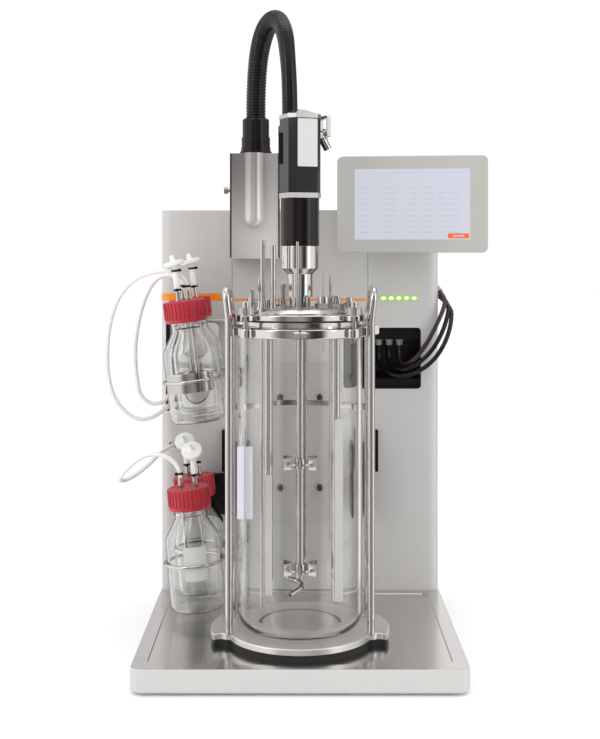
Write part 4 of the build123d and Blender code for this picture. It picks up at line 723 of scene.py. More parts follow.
@dataclass(frozen=True)
class ConduitHose:
    """The corrugated hose: fine rings along its left leg that fade where it narrows.

    The fade and the two tapers say over which share of the hose, from its foot, they take place.
    """

    cord: Cord = HOSE
    pitch: float = 4.2
    rib: float = 1.7
    blunting: float = 0.6
    fade: tuple[float, float] = (0.50, 0.62)
    faded: float = 0.12
    foot_radius: float = 12.6
    lower_taper: tuple[float, float] = (0.30, 0.58)
    top_radius: float = 11.2
    upper_taper: tuple[float, float] = (0.58, 0.80)
    end_radius: float = 9.6
    sides: int = 40
    steps: int = 800

    def tree(self) -> Tree:
        """Makes the node tree that sweeps a ringed wall along the centreline.

        Returns:
            The tree, with named inputs for the hose's sizes.
        """
        sizes = ("Pitch", "Rib", "Foot Radius", "Top Radius", "End Radius")
        tree, given = geometry_tree("ringed_hose", dict.fromkeys(sizes, "Float"))
        line = {"Curve": given["Geometry"], "Count": self.steps}
        steps = add_node(tree, "GeometryNodeResampleCurve", line, mode="COUNT").outputs[0]
        along = add_node(tree, "GeometryNodeSplineParameter").outputs
        change = add_node(
            tree, "ShaderNodeMath", {0: given["End Radius"], 1: given["Top Radius"]},
            operation="SUBTRACT",
        ).outputs[0]
        fade, lower, upper = (
            add_node(
                tree, "ShaderNodeMapRange",
                {
                    "Value": along["Factor"], "From Min": start, "From Max": stop,
                    "To Min": low, "To Max": high,
                },
                interpolation_type="SMOOTHSTEP",
            ).outputs[0]
            for (start, stop), low, high in (
                (self.fade, 1.0, self.faded),
                (self.lower_taper, given["Foot Radius"], given["Top Radius"]),
                (self.upper_taper, 0.0, change),
            )
        )
        width = add_node(tree, "ShaderNodeMath", {0: lower, 1: upper}, operation="ADD").outputs[0]
        # Each ring is a blunted half wave of the length, so the grooves between them are narrow.
        radius = along["Length"]
        for operation, *amount in (
            ("MULTIPLY", 2 * math.pi), ("DIVIDE", given["Pitch"]), ("MULTIPLY", 0.5), ("SINE",),
            ("ABSOLUTE",), ("POWER", self.blunting), ("SUBTRACT", 0.5),
            ("MULTIPLY", given["Rib"]), ("MULTIPLY", fade), ("ADD", width),
        ):
            values = {0: radius, **dict(enumerate(amount, start=1))}
            radius = add_node(tree, "ShaderNodeMath", values, operation=operation).outputs[0]
        circle = {"Resolution": self.sides, "Radius": 1.0}
        swept = {
            "Curve": steps, "Scale": radius, "Fill Caps": True,
            "Profile Curve": add_node(tree, "GeometryNodeCurvePrimitiveCircle", circle).outputs[0],
        }
        wall = add_node(tree, "GeometryNodeCurveToMesh", swept).outputs[0]
        close_tree(tree, wall, given["Material"])
        return tree

    def build(self) -> Piece:
        """Sweeps the ringed wall along the hose's line.

        Returns:
            The hose as a mesh.
        """
        line = self.cord.line()
        line.name = "hose_line"
        plain = bpy.data.meshes.new_from_object(line)
        path = [tuple(vertex.co) for vertex in plain.vertices]
        values = {
            "Pitch": self.pitch * MM, "Rib": self.rib * MM, "Foot Radius": self.foot_radius * MM,
            "Top Radius": self.top_radius * MM, "End Radius": self.end_radius * MM,
            "Material": Finishes.HOSE.value.material(),
        }
        hose = grown(line, self.tree(), values, self.cord.name)
        hose.data.shade_smooth()
        return self.cord.declare(hose, path)


def grown(base: Piece, tree: Tree, values: dict[str, Any], name: str) -> Piece:
    """Runs a geometry tree on an object and keeps only the plain mesh that comes out.

    Args:
        base: The object that the tree works on; it is removed afterwards.
        tree: The tree.
        values: Its inputs by name.
        name: What the finished piece is called.

    Returns:
        The finished piece.
    """
    grow = base.modifiers.new("grow", "NODES")
    grow.node_group = tree
    for item in tree.interface.items_tree:
        if item.item_type == "SOCKET" and item.in_out == "INPUT" and item.name in values:
            grow[item.identifier] = values[item.name]
    base.update_tag()
    depsgraph = bpy.context.evaluated_depsgraph_get()
    mesh = bpy.data.meshes.new_from_object(base.evaluated_get(depsgraph), depsgraph=depsgraph)
    bpy.data.objects.remove(base)
    return placed(name, mesh)


# ---- shaping
# Closer than these, two corners are one, a radius is nought and, in metres, two points are welded.
SAME_PLACE = 1e-6
ON_AXIS = 1e-4
WELDED = 1e-7


def softened(corners: Sequence[Point], steps: int = 5) -> list[tuple[float, float]]:
    """Rounds the corners of a turned section.

    Args:
        corners: Radius, height and rounding of each corner, in order round the section.
        steps: Short straights in each rounding.

    Returns:
        The section's points, in millimetres.
    """
    section: list[tuple[float, float]] = []
    for number, (x, z, rounding) in enumerate(corners):
        here = Vector((x, z))
        before = Vector(corners[number - 1][:2]) - here
        after = Vector(corners[(number + 1) % len(corners)][:2]) - here
        if rounding <= 0 or min(before.length, after.length) < SAME_PLACE:
            section.append((x, z))
            continue
        half = before.angle(after) / 2
        reach = rounding / math.tan(half)
        inwards = (before.normalized() + after.normalized()).normalized()
        centre = here + inwards * rounding / math.sin(half)
        first = here + before.normalized() * reach - centre
        last = here + after.normalized() * reach - centre
        turn = first.angle_signed(last)
        for step in range(steps + 1):
            spoke = Vector(first)
            spoke.rotate(Matrix.Rotation(-turn * step / steps, 2))
            section.append(tuple(centre + spoke))
    return section


class Workpiece:
    """Gathers the closed shapes that make up one piece, each placed by a stand."""

    def __init__(self) -> None:
        """Starts with nothing."""
        self.work = bmesh.new()

    def add_turned(self, stand: Matrix, corners: Sequence[Point], sides: int = 96) -> "Workpiece":
        """Turns a section about the stand's upright axis.

        Args:
            stand: Where it stands.
            corners: Radius, height and rounding of each corner of the closed section.
            sides: Facets round it.

        Returns:
            This workpiece, so that calls can be chained.
        """
        section = softened(corners)
        rings = []
        for radius, height in section:
            if radius < ON_AXIS:
                rings.append([self.work.verts.new(stand @ Vector((0, 0, height * MM)))])
                continue
            ring = []
            for side in range(sides):
                angle = 2 * math.pi * side / sides
                spot = Vector((radius * math.cos(angle), radius * math.sin(angle), height)) * MM
                ring.append(self.work.verts.new(stand @ spot))
            rings.append(ring)
        for first, second in zip(rings, rings[1:] + rings[:1]):
            self._bridge(first, second, sides)
        return self

    def _bridge(self, first: list[Any], second: list[Any], sides: int) -> None:
        """Fills the band between two rings, either of which may be a single point.

        Args:
            first: One ring's vertices.
            second: The next ring's vertices.
            sides: Facets round them.
        """
        if len(first) == 1 and len(second) == 1:
            return
        for side in range(sides):
            after = (side + 1) % sides
            if len(first) == 1:
                corners = (first[0], second[side], second[after])
            elif len(second) == 1:
                corners = (first[side], second[0], first[after])
            else:
                corners = (first[side], second[side], second[after], first[after])
            self.work.faces.new(corners)

    def add_slab(
        self, stand: Matrix, outline: Sequence[tuple[float, float]], thick: float
    ) -> "Workpiece":
        """Raises a flat outline into a slab.

        Args:
            stand: The outline's plane; it rises along the stand's Z.
            outline: The slab's corners in order, in millimetres.
            thick: The slab's thickness.

        Returns:
            This workpiece.
        """
        low = [self.work.verts.new(stand @ (Vector((x, y, 0)) * MM)) for x, y in outline]
        high = [self.work.verts.new(stand @ (Vector((x, y, thick)) * MM)) for x, y in outline]
        self.work.faces.new(reversed(low))
        self.work.faces.new(high)
        for number, corner in enumerate(low):
            after = (number + 1) % len(low)
            self.work.faces.new((corner, low[after], high[after], high[number]))
        return self

    def add_mesh(self, mesh: Mesh, stand: Matrix) -> None:
        """Adds a finished mesh.

        Args:
            mesh: The mesh, which is left as it is.
            stand: Where it stands.
        """
        copy = mesh.copy()
        copy.transform(stand)
        self.work.from_mesh(copy)
        bpy.data.meshes.remove(copy)

    def mesh(self, name: str) -> Mesh:
        """Joins what has been gathered, with its faces outwards.

        Args:
            name: The mesh's name.

        Returns:
            One mesh.
        """
        bmesh.ops.remove_doubles(self.work, verts=self.work.verts, dist=WELDED)
        bmesh.ops.recalc_face_normals(self.work, faces=self.work.faces)
        mesh = bpy.data.meshes.new(name)
        self.work.to_mesh(mesh)
        self.work.free()
        return mesh

    def piece(self, name: str, finish: Finishes, **setting: Any) -> Piece:
        """Makes the piece; what else it is told goes to settle."""
        return settle(self.mesh(name), name, finish, **setting)


def settle(
    mesh: Mesh, name: str, finish: Finishes, body: str = "unit",
    replaces: Iterable[str] = (), sharp: float = 38.0,
) -> Piece:
    """Turns a mesh into a dressed piece that rides on a body.

    Args:
        mesh: The piece's mesh, in place.
        name: The piece's name.
        finish: What it is made of.
        body: The body it rides on.
        replaces: The nodes that it stands for.
        sharp: Edges that turn more than this many degrees stay crisp.

    Returns:
        The piece.
    """
    piece = placed(name, mesh)
    mesh.shade_smooth()
    mesh.set_sharp_from_angle(angle=math.radians(sharp))
    finish.dress(piece)
    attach(piece, body)
    finish.slot
    if replaces:
        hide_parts(*replaces)
    LOG.info("%s: %d faces", name, len(mesh.polygons))
    return piece


def rounded_outline(
    width: float, height: float, corner: float, steps: int = 6
) -> list[tuple[float, float]]:
    """Draws a rectangle with round corners.

    Args:
        width: Its width.
        height: Its height.
        corner: The corners' radius.
        steps: Short straights in each corner.

    Returns:
        Its points, centred and anticlockwise.
    """
    points = []
    for number, (sx, sy) in enumerate(SQUARE):
        cx, cy = sx * (width / 2 - corner), sy * (height / 2 - corner)
        for step in range(steps + 1):
            angle = math.pi / 2 * (number + step / steps)
            points.append((cx + corner * math.cos(angle), cy + corner * math.sin(angle)))
    return points


class Pattern(Enum):
    """How a repeated shape is laid out."""

    RING = "ring"
    GRID = "grid"


def pattern_tree(pattern: Pattern) -> Tree:
    """Makes, once, the node tree that repeats a shape in a ring or a grid.

    Args:
        pattern: The layout.

    Returns:
        A tree with inputs Count and, for a grid, Columns, Step X and Step Z.
    """
    name = f"repeat_{pattern.value}"
    known = bpy.data.node_groups.get(name)
    if known is not None:
        return known
    kinds = {"Count": "Int", "Columns": "Int", "Step X": "Vector", "Step Z": "Vector"}
    tree, given = geometry_tree(name, kinds)
    index = add_node(tree, "GeometryNodeInputIndex").outputs[0]
    points = add_node(tree, "GeometryNodePoints", {"Count": given["Count"]}).outputs[0]
    laid = {"Points": points, "Instance": given["Geometry"]}
    if pattern is Pattern.RING:
        angle = index
        for operation, amount in (("MULTIPLY", 2 * math.pi), ("DIVIDE", given["Count"])):
            values = {0: angle, 1: amount}
            angle = add_node(tree, "ShaderNodeMath", values, operation=operation).outputs[0]
        laid["Rotation"] = add_node(tree, "ShaderNodeCombineXYZ", {"Z": angle}).outputs[0]
    else:
        column = add_node(
            tree, "ShaderNodeMath", {0: index, 1: given["Columns"]}, operation="FLOORED_MODULO"
        ).outputs[0]
        row = index
        for operation, *amount in (("ADD", 0.5), ("DIVIDE", given["Columns"]), ("FLOOR",)):
            values = {0: row, **dict(enumerate(amount, start=1))}
            row = add_node(tree, "ShaderNodeMath", values, operation=operation).outputs[0]
        across, down = (
            add_node(
                tree, "ShaderNodeVectorMath", {0: step, "Scale": count}, operation="SCALE"
            ).outputs[0]
            for step, count in ((given["Step X"], column), (given["Step Z"], row))
        )
        spot = add_node(
            tree, "ShaderNodeVectorMath", {0: across, 1: down}, operation="ADD"
        ).outputs[0]
        spread = {"Geometry": points, "Position": spot}
        laid["Points"] = add_node(tree, "GeometryNodeSetPosition", spread).outputs[0]
    copies = add_node(tree, "GeometryNodeInstanceOnPoints", laid).outputs[0]
    close_tree(tree, copies, given["Material"])
    return tree


def repeated(
    shape: Mesh, pattern: Pattern, finish: Finishes, values: dict[str, Any]
) -> Mesh:
    """Repeats a shape in a pattern.

    Args:
        shape: One shape, where it lies.
        pattern: The layout.
        finish: Their finish.
        values: The pattern's inputs by name, with steps in metres.

    Returns:
        All of them as one mesh.
    """
    inputs = {**values, "Material": finish.value.material()}
    whole = grown(placed("one", shape), pattern_tree(pattern), inputs, pattern.value)
    mesh = whole.data
    bpy.data.objects.remove(whole)
    return mesh


def ring_of(shape: Mesh, count: int, finish: Finishes) -> Mesh:
    """Returns a shape repeated in a ring round the upright axis."""
    return repeated(shape, Pattern.RING, finish, {"Count": count})


def grid_of(
    shape: Mesh, columns: int, rows: int, step_x: Vector, step_z: Vector, finish: Finishes
) -> Mesh:
    """Returns a shape repeated in columns along step_x and rows along step_z, both in metres."""
    values = {"Count": columns * rows, "Columns": columns, "Step X": step_x, "Step Z": step_z}
    return repeated(shape, Pattern.GRID, finish, values)


# ---- glassware
@dataclass(frozen=True)
class GlassVessel:
    """The stirred vessel: a drawn glass tube with a rounded bottom and a ground flange."""

    axis_y: float = -92.5
    foot: float = 44.0
    radius: float = 75.0
    wall: float = 4.0
    knuckle: float = 20.0
    flange: float = 405.0
    flange_top: float = 412.0
    flange_radius: float = 80.0

    def build(self) -> None:
        """Turns the vessel."""
        inner, bottom = self.radius - self.wall, self.foot + self.wall
        Workpiece().add_turned(
            leaning(0, self.axis_y, 0),
            (
                (0, self.foot + 3.2, 0), (45, self.foot + 2.6, 4), (50, self.foot, 1.5),
                (self.radius, self.foot, self.knuckle), (self.radius, self.flange, 2.5),
                (self.flange_radius, self.flange, 1), (self.flange_radius, self.flange_top, 1),
                (inner, self.flange_top, 1), (inner, bottom + 1, self.knuckle - self.wall),
                (38, bottom + 3, 20), (0, bottom + 5, 0),
            ),
            sides=160,
        ).piece("vessel_glass", Finishes.VESSEL, replaces=("glass_vessel",), sharp=60.0)


@dataclass(frozen=True)
class BottleStand:
    """Where one reagent bottle stands, its lean and how far its pair of ports is turned."""

    y: float
    z: float
    lean: float
    ports_turned: float
    filter_tip: float
    filter_roll: float
    x: float = -128.0
    port_reach: float = 9.0

    def stand(self) -> Matrix:
        """Returns the bottle's own upright, at the middle of its foot."""
        return leaning(self.x, self.y, self.z, self.lean)

    def port(self, side: int, height: float) -> Matrix:
        """Returns the stand of one port, a height above the bottle's foot."""
        angle, reach = math.radians(self.ports_turned), side * self.port_reach
        return self.stand() @ moved(reach * math.cos(angle), reach * math.sin(angle), height)


BOTTLES = (
    BottleStand(-16.0, 279.0, 7.0, 230.0, 0.0, -9.0),
    BottleStand(60.0, 279.0, 7.0, 35.0, 0.0, -9.0),
    BottleStand(-16.0, 43.0, 5.0, 0.0, 48.0, 0.0),
    BottleStand(60.0, 43.0, 5.0, 150.0, 48.0, 0.0),
)


@dataclass(frozen=True)
class ReagentBottles:
    """Four screw-cap bottles with ribbed caps, vent filters and cable ties.

    The filter's section is half a disc filter from its spigot up: radius, height and rounding of
    each corner.
    """

    radius: float = 35.0
    neck: float = 20.0
    wall: float = 2.2
    shoulder: float = 90.0
    height: float = 146.0
    cap_radius: float = 27.0
    cap_foot: float = 126.0
    cap_top: float = 153.0
    ribs: int = 32
    port_top: float = 165.0
    riser: float = 30.0
    filter_section: tuple[Point, ...] = (
        (0, -1, 0), (2.8, -1, 0), (3.2, 3, 0.6), (6, 4, 0.8), (12.6, 4.2, 0.8), (12.6, 6.6, 0.3),
        (12.2, 6.8, 0.1), (12.6, 7.2, 0.3), (12.6, 9.8, 0.8), (6, 10, 0.6), (3.4, 10.8, 0.4),
        (3.4, 14, 0.5), (2.7, 14.5, 0.3), (2.6, 18, 0.4), (1.4, 18, 0.2), (1.4, 12, 0),
        (0, 12, 0),
    )
    filter_ribs: int = 20
    scallops: int = 24
    tie_width: float = 2.4
    tie_thick: float = 0.9
    lock: Point = (3.4, 3.6, 0.5)
    first_lock: float = 200.0
    next_lock: float = 70.0

    def build(self) -> None:
        """Makes the glass, the caps, the filters and the ties."""
        self.glass()
        self.caps()
        self.filters()
        self.ties()

    def glass(self) -> None:
        """Blows the bottles, with the thread's bead at each neck."""
        wall, body, neck = self.wall, self.radius, self.neck
        glass = Workpiece()
        for bottle in BOTTLES:
            glass.add_turned(
                bottle.stand(),
                (
                    (0, 2, 0), (body - 12, 0, 2), (body, 0, 7), (body, self.shoulder, 16),
                    (neck, 114, 9), (neck, 118, 1), (neck + 1.6, 120, 1), (neck, 122, 1),
                    (neck, self.height, 0.8), (neck - wall, self.height, 0.8),
                    (neck - wall, 113, 8), (body - wall, self.shoulder - 1.1, 14),
                    (body - wall, wall, 5), (body - 12, wall, 2), (0, 2 + wall, 0),
                ),
                sides=88,
            )
        glass.piece("bottle_glass", Finishes.BOTTLE, replaces=("reagent_bottles",), sharp=60.0)

    def caps(self) -> None:
        """Moulds the caps, each a smooth ring under a ribbed skirt."""
        skirt = self.cap_top - self.cap_foot - 1
        section = ((0, 5, 0), (1.25, 5, 0.6), (1.0, skirt, 0.9), (0, skirt, 0))
        rib = Workpiece().add_turned(moved(self.cap_radius - 0.8, 0, 0), section, sides=10)
        ribs = ring_of(rib.mesh("cap_rib"), self.ribs, Finishes.CAP)
        caps = Workpiece()
        edge, ring = self.cap_radius - 0.9, self.cap_radius - 0.4
        low, top, bore = self.cap_foot, self.cap_top, self.neck + 0.6
        for bottle in BOTTLES:
            caps.add_turned(
                bottle.stand(),
                (
                    (bore, low, 0), (ring, low, 0.8), (ring, low + 4.5, 0.8), (edge, low + 5, 0.2),
                    (edge, top, 1.6), (edge - 4, top, 0.6), (edge - 4.6, top - 0.8, 0.4),
                    (0, top - 0.8, 0), (0, top - 4, 0), (bore, top - 4, 0),
                ),
                sides=102,
            )
            caps.add_mesh(ribs, bottle.stand() @ moved(0, 0, low))
        caps.piece("bottle_screw_caps", Finishes.CAP, replaces=("bottle_caps",))

    def filter_stand(self, bottle: BottleStand) -> Matrix:
        """Returns the stand of a bottle's filter, at the top of its riser."""
        top = bottle.port(1, self.port_top + self.riser - 1)
        return top @ rotated(bottle.filter_tip, "X") @ rotated(bottle.filter_roll, "Y")

    def filters(self) -> None:
        """Moulds the disc filters on their soft risers, with radial ribs on each face."""
        rib = Workpiece().add_slab(leaning(7.4, 0, 9.6), rounded_outline(7.6, 0.9, 0.3, 2), 0.5)
        ribs = ring_of(rib.mesh("filter_rib"), self.filter_ribs, Finishes.FILTER)
        section = ((0, 4.8, 0), (1.0, 4.8, 0.3), (1.0, 9.2, 0.3), (0, 9.2, 0))
        notch = Workpiece().add_turned(moved(12.3, 0, 0), section, sides=8)
        scallops = ring_of(notch.mesh("filter_scallop"), self.scallops, Finishes.FILTER)
        filters = Workpiece()
        risers = Workpiece()
        for bottle in BOTTLES:
            stand = self.filter_stand(bottle)
            filters.add_turned(stand, self.filter_section, sides=64)
            filters.add_mesh(ribs, stand)
            filters.add_mesh(scallops, stand)
            risers.add_turned(
                bottle.port(1, self.port_top),
                ((0, 0, 0), (4.0, 0, 0.3), (4.0, self.riser, 0.4), (0, self.riser, 0)), sides=36,
            )
        filters.piece("filter_discs", Finishes.FILTER, replaces=("vent_filters",))
        risers.piece("filter_risers", Finishes.SILICONE)

    def ties(self) -> None:
        """Pulls a black cable tie round each port and under each filter."""
        ties = Workpiece()
        for bottle in BOTTLES:
            foot = self.port_top
            spots = (
                (bottle.port(-1, foot + 4.2), 3.3), (bottle.port(1, foot + 1.2), 4.3),
                (bottle.port(1, foot + self.riser - 4.5), 4.3),
            )
            for number, (stand, radius) in enumerate(spots):
                inside, outside = radius - 0.3, radius + self.tie_thick
                ties.add_turned(
                    stand,
                    (
                        (inside, 0, 0), (outside, 0, 0.3), (outside, self.tie_width, 0.3),
                        (inside, self.tie_width, 0),
                    ),
                    sides=36,
                )
                turned = stand @ rotated(self.first_lock + self.next_lock * number, "Z")
                lock = turned @ moved(outside + 1.0, 0, -0.5)
                ties.add_slab(lock, rounded_outline(*self.lock, 2), self.lock[0])
        ties.piece("cable_ties", Finishes.BLACK_MOULDING)


# ---- touch screen
@dataclass(frozen=True)
class TouchScreen:
    """What the display shows: plain bars with no words, and one bright button.

    Places on the display are measured from its middle, to the right and upwards.
    """

    place: Point = (153.3, 88.0, 554.6)
    yaw: float = -7.3
    face: float = 52.7
    columns: tuple[tuple[float, float], ...] = (
        (-62, 11), (-28, 15), (2, 9), (22, 12), (40, 9), (56, 13),
    )
    rows: int = 9
    top_row: float = 22.0
    row_pitch: float = 7.4
    dash_height: float = 1.1
    rules: tuple[tuple[float, float], ...] = ((40.8, 0.5), (30.5, 0.35))
    rule_width: float = 148.0
    button: tuple[float, ...] = (60.2, -41.6, 27.5, 6.4, 0.06)
    word: tuple[float, ...] = (54, -41.6, 1.6, 2.2, 0.08)
    word_bars: int = 7
    word_pitch: float = 2.1

    def plane(self) -> Matrix:
        """Returns the display's plane, X to the right and Z towards the operator."""
        return facing_front(*self.place, self.yaw) @ moved(0, 0, self.face)

    def bar(self, x: float, y: float, width: float, height: float, thick: float = 0.04) -> Mesh:
        """Makes one thin bar on the display.

        Args:
            x: Its middle, to the right of the display's.
            y: Its middle, above the display's.
            width: Its width.
            height: Its height.
            thick: How far it stands proud.

        Returns:
            The bar's mesh.
        """
        outline = rounded_outline(width, height, min(width, height) * 0.2, 2)
        stand = self.plane() @ moved(x, y, 0)
        return Workpiece().add_slab(stand, outline, thick).mesh("bar")

    def show(self, name: str, finish: Finishes, meshes: Iterable[Mesh]) -> None:
        """Joins bars into one piece that rides on the screen.

        Args:
            name: The piece's name.
            finish: What it is made of.
            meshes: The bars.
        """
        shown = Workpiece()
        for mesh in meshes:
            shown.add_mesh(mesh, Matrix.Identity(4))
        shown.piece(name, finish, body="screen")

    def build(self) -> None:
        """Lays out the display."""
        axes = self.plane().to_3x3()
        right, down = (axes @ Vector(axis) * MM for axis in ((1, 0, 0), (0, -1, 0)))
        ink = Finishes.SCREEN_MARK
        marks = []
        for x, width in self.columns:
            dash = self.bar(x, self.top_row, width, self.dash_height)
            marks.append(grid_of(dash, 1, self.rows, right, down * self.row_pitch, ink))
        marks += [self.bar(0, y, self.rule_width, height) for y, height in self.rules]
        self.show("display_marks", ink, marks)
        self.show("display_button", Finishes.SCREEN_BUTTON, [self.bar(*self.button)])
        letter, step = self.bar(*self.word), right * self.word_pitch
        word = grid_of(letter, self.word_bars, 1, step, down, Finishes.DISPLAY)
        self.show("display_button_bar", Finishes.DISPLAY, [word])


# ---- small plates
@dataclass(frozen=True)
class Plate:
    """A thin upright plate with round corners that faces the operator, or is turned away."""

    name: str
    finish: Finishes
    place: Point
    width: float
    height: float
    corner: float
    thick: float
    turn: float = 0.0
    shift: Point = (0.0, 0.0, 0.0)

    def build(self) -> None:
        """Cuts the plate."""
        stand = facing_front(*self.place, self.turn) @ moved(*self.shift)
        outline = rounded_outline(self.width, self.height, self.corner)
        Workpiece().add_slab(stand, outline, self.thick).piece(self.name, self.finish)


# The bare tag that hangs beside the vessel, and the bare label on the motor's side.
LABELS = (
    Plate("hanging_tag", Finishes.TAG, (-64, -128, 222.5), 19.5, 85.0, 1.5, 0.8),
    Plate(
        "motor_label", Finishes.LABEL, (0, -92.5, 622.5), 25.5, 57.0, 1.0, 0.15,
        turn=23.0, shift=(1.0, 0, 20.75),
    ),
)
# A black strip that paints the shade in the gap beside the pump heads: painted shade.
PUMP_GAP_SHADE = Plate("pump_gap_painted_shade", Finishes.BLACK_MOULDING, (-180.4, 106, 337.5), 5.5, 125.0, 1.0, 0.5)
# Two flat strips that hang from lid probes and stop the broth from swirling.
BAFFLES = (
    Plate("baffle_strip_1", Finishes.STRIP, (-38.4, -98, 154), 9.8, 144.0, 1.5, 1.2, turn=6.0),
    Plate("baffle_strip_2", Finishes.STRIP, (46.6, -96, 183), 9.8, 218.0, 1.5, 1.2, turn=-6.0),
)


@dataclass(frozen=True)
class BracketHems:
    """The folded hems of the conduit bracket: a bead up each side and one along its foot, drawn
    dark as painted shade.
    """

    left: float = -93.0
    right: float = -27.0
    low: float = 483.0
    high: float = 623.0
    face_y: float = 60.0
    bead: float = 1.1

    def build(self) -> None:
        """Folds the hems."""
        inset = self.bead * 0.8
        tall, wide = self.high - self.low, self.right - self.left
        sides = (self.left + inset, self.right - inset)
        beads = [(leaning(x, self.face_y, self.low), tall) for x in sides]
        foot = leaning(self.left, self.face_y, self.low + inset) @ rotated(90, "Y")
        hems = Workpiece()
        for stand, length in (*beads, (foot, wide)):
            section = ((0, 0, 0), (self.bead, 0, 0.6), (self.bead, length, 0.6), (0, length, 0))
            hems.add_turned(stand, section, sides=20)
        # The hems take the dark screw finish: painted shade along the folds of the bright sheet.
        hems.piece("bracket_hems", Finishes.BOLT)


@dataclass(frozen=True)
class BottleWrap:
    """A thin sheet bent round the front of a bottle: a spring band or a writing field."""

    name: str
    finish: Finishes
    bottle: int
    radius: float
    thick: float
    low: float
    high: float
    start: float
    stop: float
    steps: int = 60

    def build(self) -> None:
        """Bends the sheet."""
        spread = self.stop - self.start
        shares = [step / self.steps for step in range(self.steps + 1)]
        angles = [math.radians(self.start + spread * share) for share in shares]
        outside = self.radius + self.thick
        walk = [(outside, angle) for angle in angles] + [(self.radius, a) for a in angles[::-1]]
        outline = [(radius * math.cos(angle), radius * math.sin(angle)) for radius, angle in walk]
        foot = BOTTLES[self.bottle].stand() @ moved(0, 0, self.low)
        tall = self.high - self.low
        Workpiece().add_slab(foot, outline, tall).piece(self.name, self.finish)


WRAPS = (
    BottleWrap("bottle_spring_band", Finishes.BAND, 0, 36.65, 0.7, 39.5, 61.5, -146, -46),
    BottleWrap("bottle_writing_field", Finishes.LABEL, 2, 35.05, 0.12, 42, 84, -106, -58),
)


@dataclass(frozen=True)
class LidCrown:
    """The raised middle of the lid, with a soft shoulder, that the ports stand on."""

    lid_top: float = 420.0
    axis_y: float = -92.5
    radius: float = 53.0
    rise: float = 6.0

    def build(self) -> None:
        """Turns the crown."""
        edge, rise = self.radius, self.rise
        Workpiece().add_turned(
            leaning(0, self.axis_y, self.lid_top),
            (
                (0, -0.5, 0), (edge, -0.5, 0), (edge, 0.8, 0.5), (edge - 5, rise - 1, 3),
                (edge - 8, rise, 2), (0, rise, 0),
            ),
            sides=128,
        ).piece("lid_crown", Finishes.CROWN)


@dataclass(frozen=True)
class StatusLamps:
    """The row of lit lamps in the lens at the tower's upper right."""

    x: float = 135.0
    z: float = 428.7
    lens_y: float = 104.92
    pitch: float = 10.4
    count: int = 5
    half_width: float = 3.3
    half_height: float = 2.3
    sides: int = 28
    thick: float = 0.12

    def build(self) -> None:
        """Sets the lamps in a row."""
        start = self.x - self.pitch * (self.count - 1) / 2
        angles = (2 * math.pi * side / self.sides for side in range(self.sides))
        outline = [(self.half_width * math.cos(a), self.half_height * math.sin(a)) for a in angles]
        stand = facing_front(start, self.lens_y, self.z)
        lamp = Workpiece().add_slab(stand, outline, self.thick)
        step = Vector((self.pitch * MM, 0, 0))
        row = grid_of(lamp.mesh("lamp"), self.count, 1, step, Vector((0, 0, 0)), Finishes.LAMP)
        settle(row, "status_lamps", Finishes.LAMP)


# ---- studio
@dataclass(frozen=True)
class Softbox:
    """One large soft light aimed at the middle of the unit."""

    name: str
    place: Point
    size: tuple[float, float]
    power: float


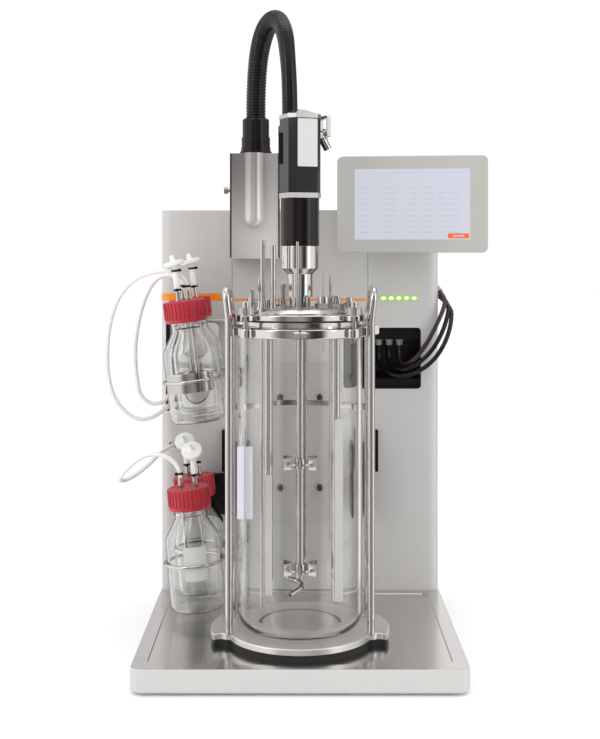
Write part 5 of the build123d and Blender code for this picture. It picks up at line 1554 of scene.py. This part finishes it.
@dataclass(frozen=True)
class Studio:
    """A white room, soft light and the camera; metres throughout.

    The surround says how bright the room's walls are round the compass, as a share of a turn from
    behind the unit, past its left side, the camera at a half and its right side, back to behind.
    """

    camera_place: Point = (0.0, -1.535, 0.4985)
    lens_mm: float = 58.5
    shift_up: float = -0.1658
    aim: Point = (0.0, -0.02, 0.36)
    boxes: tuple[Softbox, ...] = (
        Softbox("key_softbox", (-1.7, -1.6, 1.7), (0.5, 1.7), 9.0),
        Softbox("fill_softbox", (1.9, -1.3, 1.1), (0.4, 1.6), 5.0),
        Softbox("top_softbox", (0.0, 0.1, 2.4), (1.8, 0.9), 9.0),
    )
    surround: tuple[tuple[float, float], ...] = (
        (0.0, 1.0), (0.05, 0.35), (0.09, 0.4), (0.13, 1.2), (0.36, 1.35), (0.395, 0.5),
        (0.42, 0.2), (0.45, 0.4), (0.51, 0.5), (0.535, 0.25), (0.56, 0.04), (0.60, 0.08),
        (0.63, 1.25), (0.77, 1.2), (0.81, 0.3), (0.87, 0.15), (0.91, 1.0), (1.0, 1.0),
    )
    tint: Point = (0.012, 0.0, 0.002)
    ceiling: tuple[float, float] = (0.45, 0.75)
    ceiling_light: float = 0.95
    plain_light: float = 1.06
    half_floor: float = 14.0

    def build(self) -> None:
        """Sets up everything that isn't part of the unit."""
        scene = bpy.context.scene
        scene.world = self.room()
        scene.view_settings.view_transform = "Standard"
        self.floor()
        for box in self.boxes:
            light = bpy.data.lights.new(box.name, "AREA")
            light.shape = "RECTANGLE"
            light.size, light.size_y = box.size
            light.energy = box.power
            lamp = placed(box.name, light)
            lamp.location = box.place
            towards = Vector(self.aim) - Vector(box.place)
            lamp.rotation_euler = towards.to_track_quat("-Z", "Y").to_euler()
            lamp.visible_camera = False
        data = bpy.data.cameras.new("camera")
        data.lens = self.lens_mm
        data.shift_y = self.shift_up
        data.clip_end = 60.0
        camera = placed("camera", data)
        camera.location = self.camera_place
        camera.rotation_euler = (math.radians(90), 0.0, 0.0)
        scene.camera = camera
        LOG.info("studio ready")

    def room(self) -> bpy.types.World:
        """Paints the room: plain white, but banded light and dark in what glass and metal mirror.

        Returns:
            The world.
        """
        world = bpy.data.worlds.new("white_room")
        world.use_nodes = True
        tree = world.node_tree
        towards = add_node(tree, "ShaderNodeTexCoord").outputs["Generated"]
        axes = add_node(tree, "ShaderNodeSeparateXYZ", {0: towards}).outputs
        behind = add_node(tree, "ShaderNodeMath", {0: axes["Y"], 1: -1.0}, operation="MULTIPLY")
        turn = add_node(
            tree, "ShaderNodeMath", {0: axes["X"], 1: behind.outputs[0]}, operation="ARCTAN2"
        ).outputs[0]
        compass = {"Value": turn, "From Min": -math.pi, "From Max": math.pi}
        share = add_node(tree, "ShaderNodeMapRange", compass).outputs[0]
        bands = add_node(tree, "ShaderNodeValToRGB", {0: share})
        stops = bands.color_ramp.elements
        for place, light in self.surround:
            stop = stops[0] if place == 0.0 else stops[-1] if place == 1.0 else stops.new(place)
            stop.color = (*(light + extra for extra in self.tint), 1.0)
        rise = {"Value": axes["Z"], "From Min": self.ceiling[0], "From Max": self.ceiling[1]}
        ceiling = add_node(
            tree, "ShaderNodeMapRange", rise, interpolation_type="SMOOTHSTEP"
        ).outputs[0]
        above = {"Factor": ceiling, 6: bands.outputs[0], 7: (*[self.ceiling_light] * 3, 1.0)}
        walls = add_node(tree, "ShaderNodeMix", above, data_type="RGBA").outputs[2]
        path = add_node(tree, "ShaderNodeLightPath").outputs
        plain = add_node(
            tree, "ShaderNodeMath", {0: path["Is Camera Ray"], 1: path["Diffuse Depth"]},
            operation="MAXIMUM", use_clamp=True,
        ).outputs[0]
        shown = {"Factor": plain, 6: walls, 7: (*[self.plain_light] * 3, 1.0)}
        seen = add_node(tree, "ShaderNodeMix", shown, data_type="RGBA").outputs[2]
        set_inputs(tree.nodes["Background"], {"Color": seen})
        return world

    def floor(self) -> None:
        """Lays the pale floor that the unit stands on."""
        mesh = bpy.data.meshes.new("floor")
        corners = [(x * self.half_floor, y * self.half_floor, 0) for x, y in SQUARE]
        mesh.from_pydata(corners, [], [(0, 1, 2, 3)])
        floor = placed("floor", mesh)
        paint = Finish(
            "matt_painted_floor", "", "#FDFDFD", "#FBFBFB", 0.9, mottle_mm=900.0, grain_mm=9.0
        )
        paint.dress(floor)
        floor.visible_glossy = False
        floor.visible_transmission = False


def main() -> None:
    """Builds the unit's pieces in order, then the studio."""
    logging.basicConfig(level=logging.INFO, format="%(message)s")
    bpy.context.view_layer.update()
    dress_carried_nodes()
    ConduitHose().build()
    for cord in CORDS:
        cord.build()
    GlassVessel().build()
    ReagentBottles().build()
    TouchScreen().build()
    for piece in (*LABELS, BracketHems(), PUMP_GAP_SHADE, *WRAPS, LidCrown(), *BAFFLES, StatusLamps()):
        piece.build()
    Studio().build()


if __name__ == "__main__":
    main()
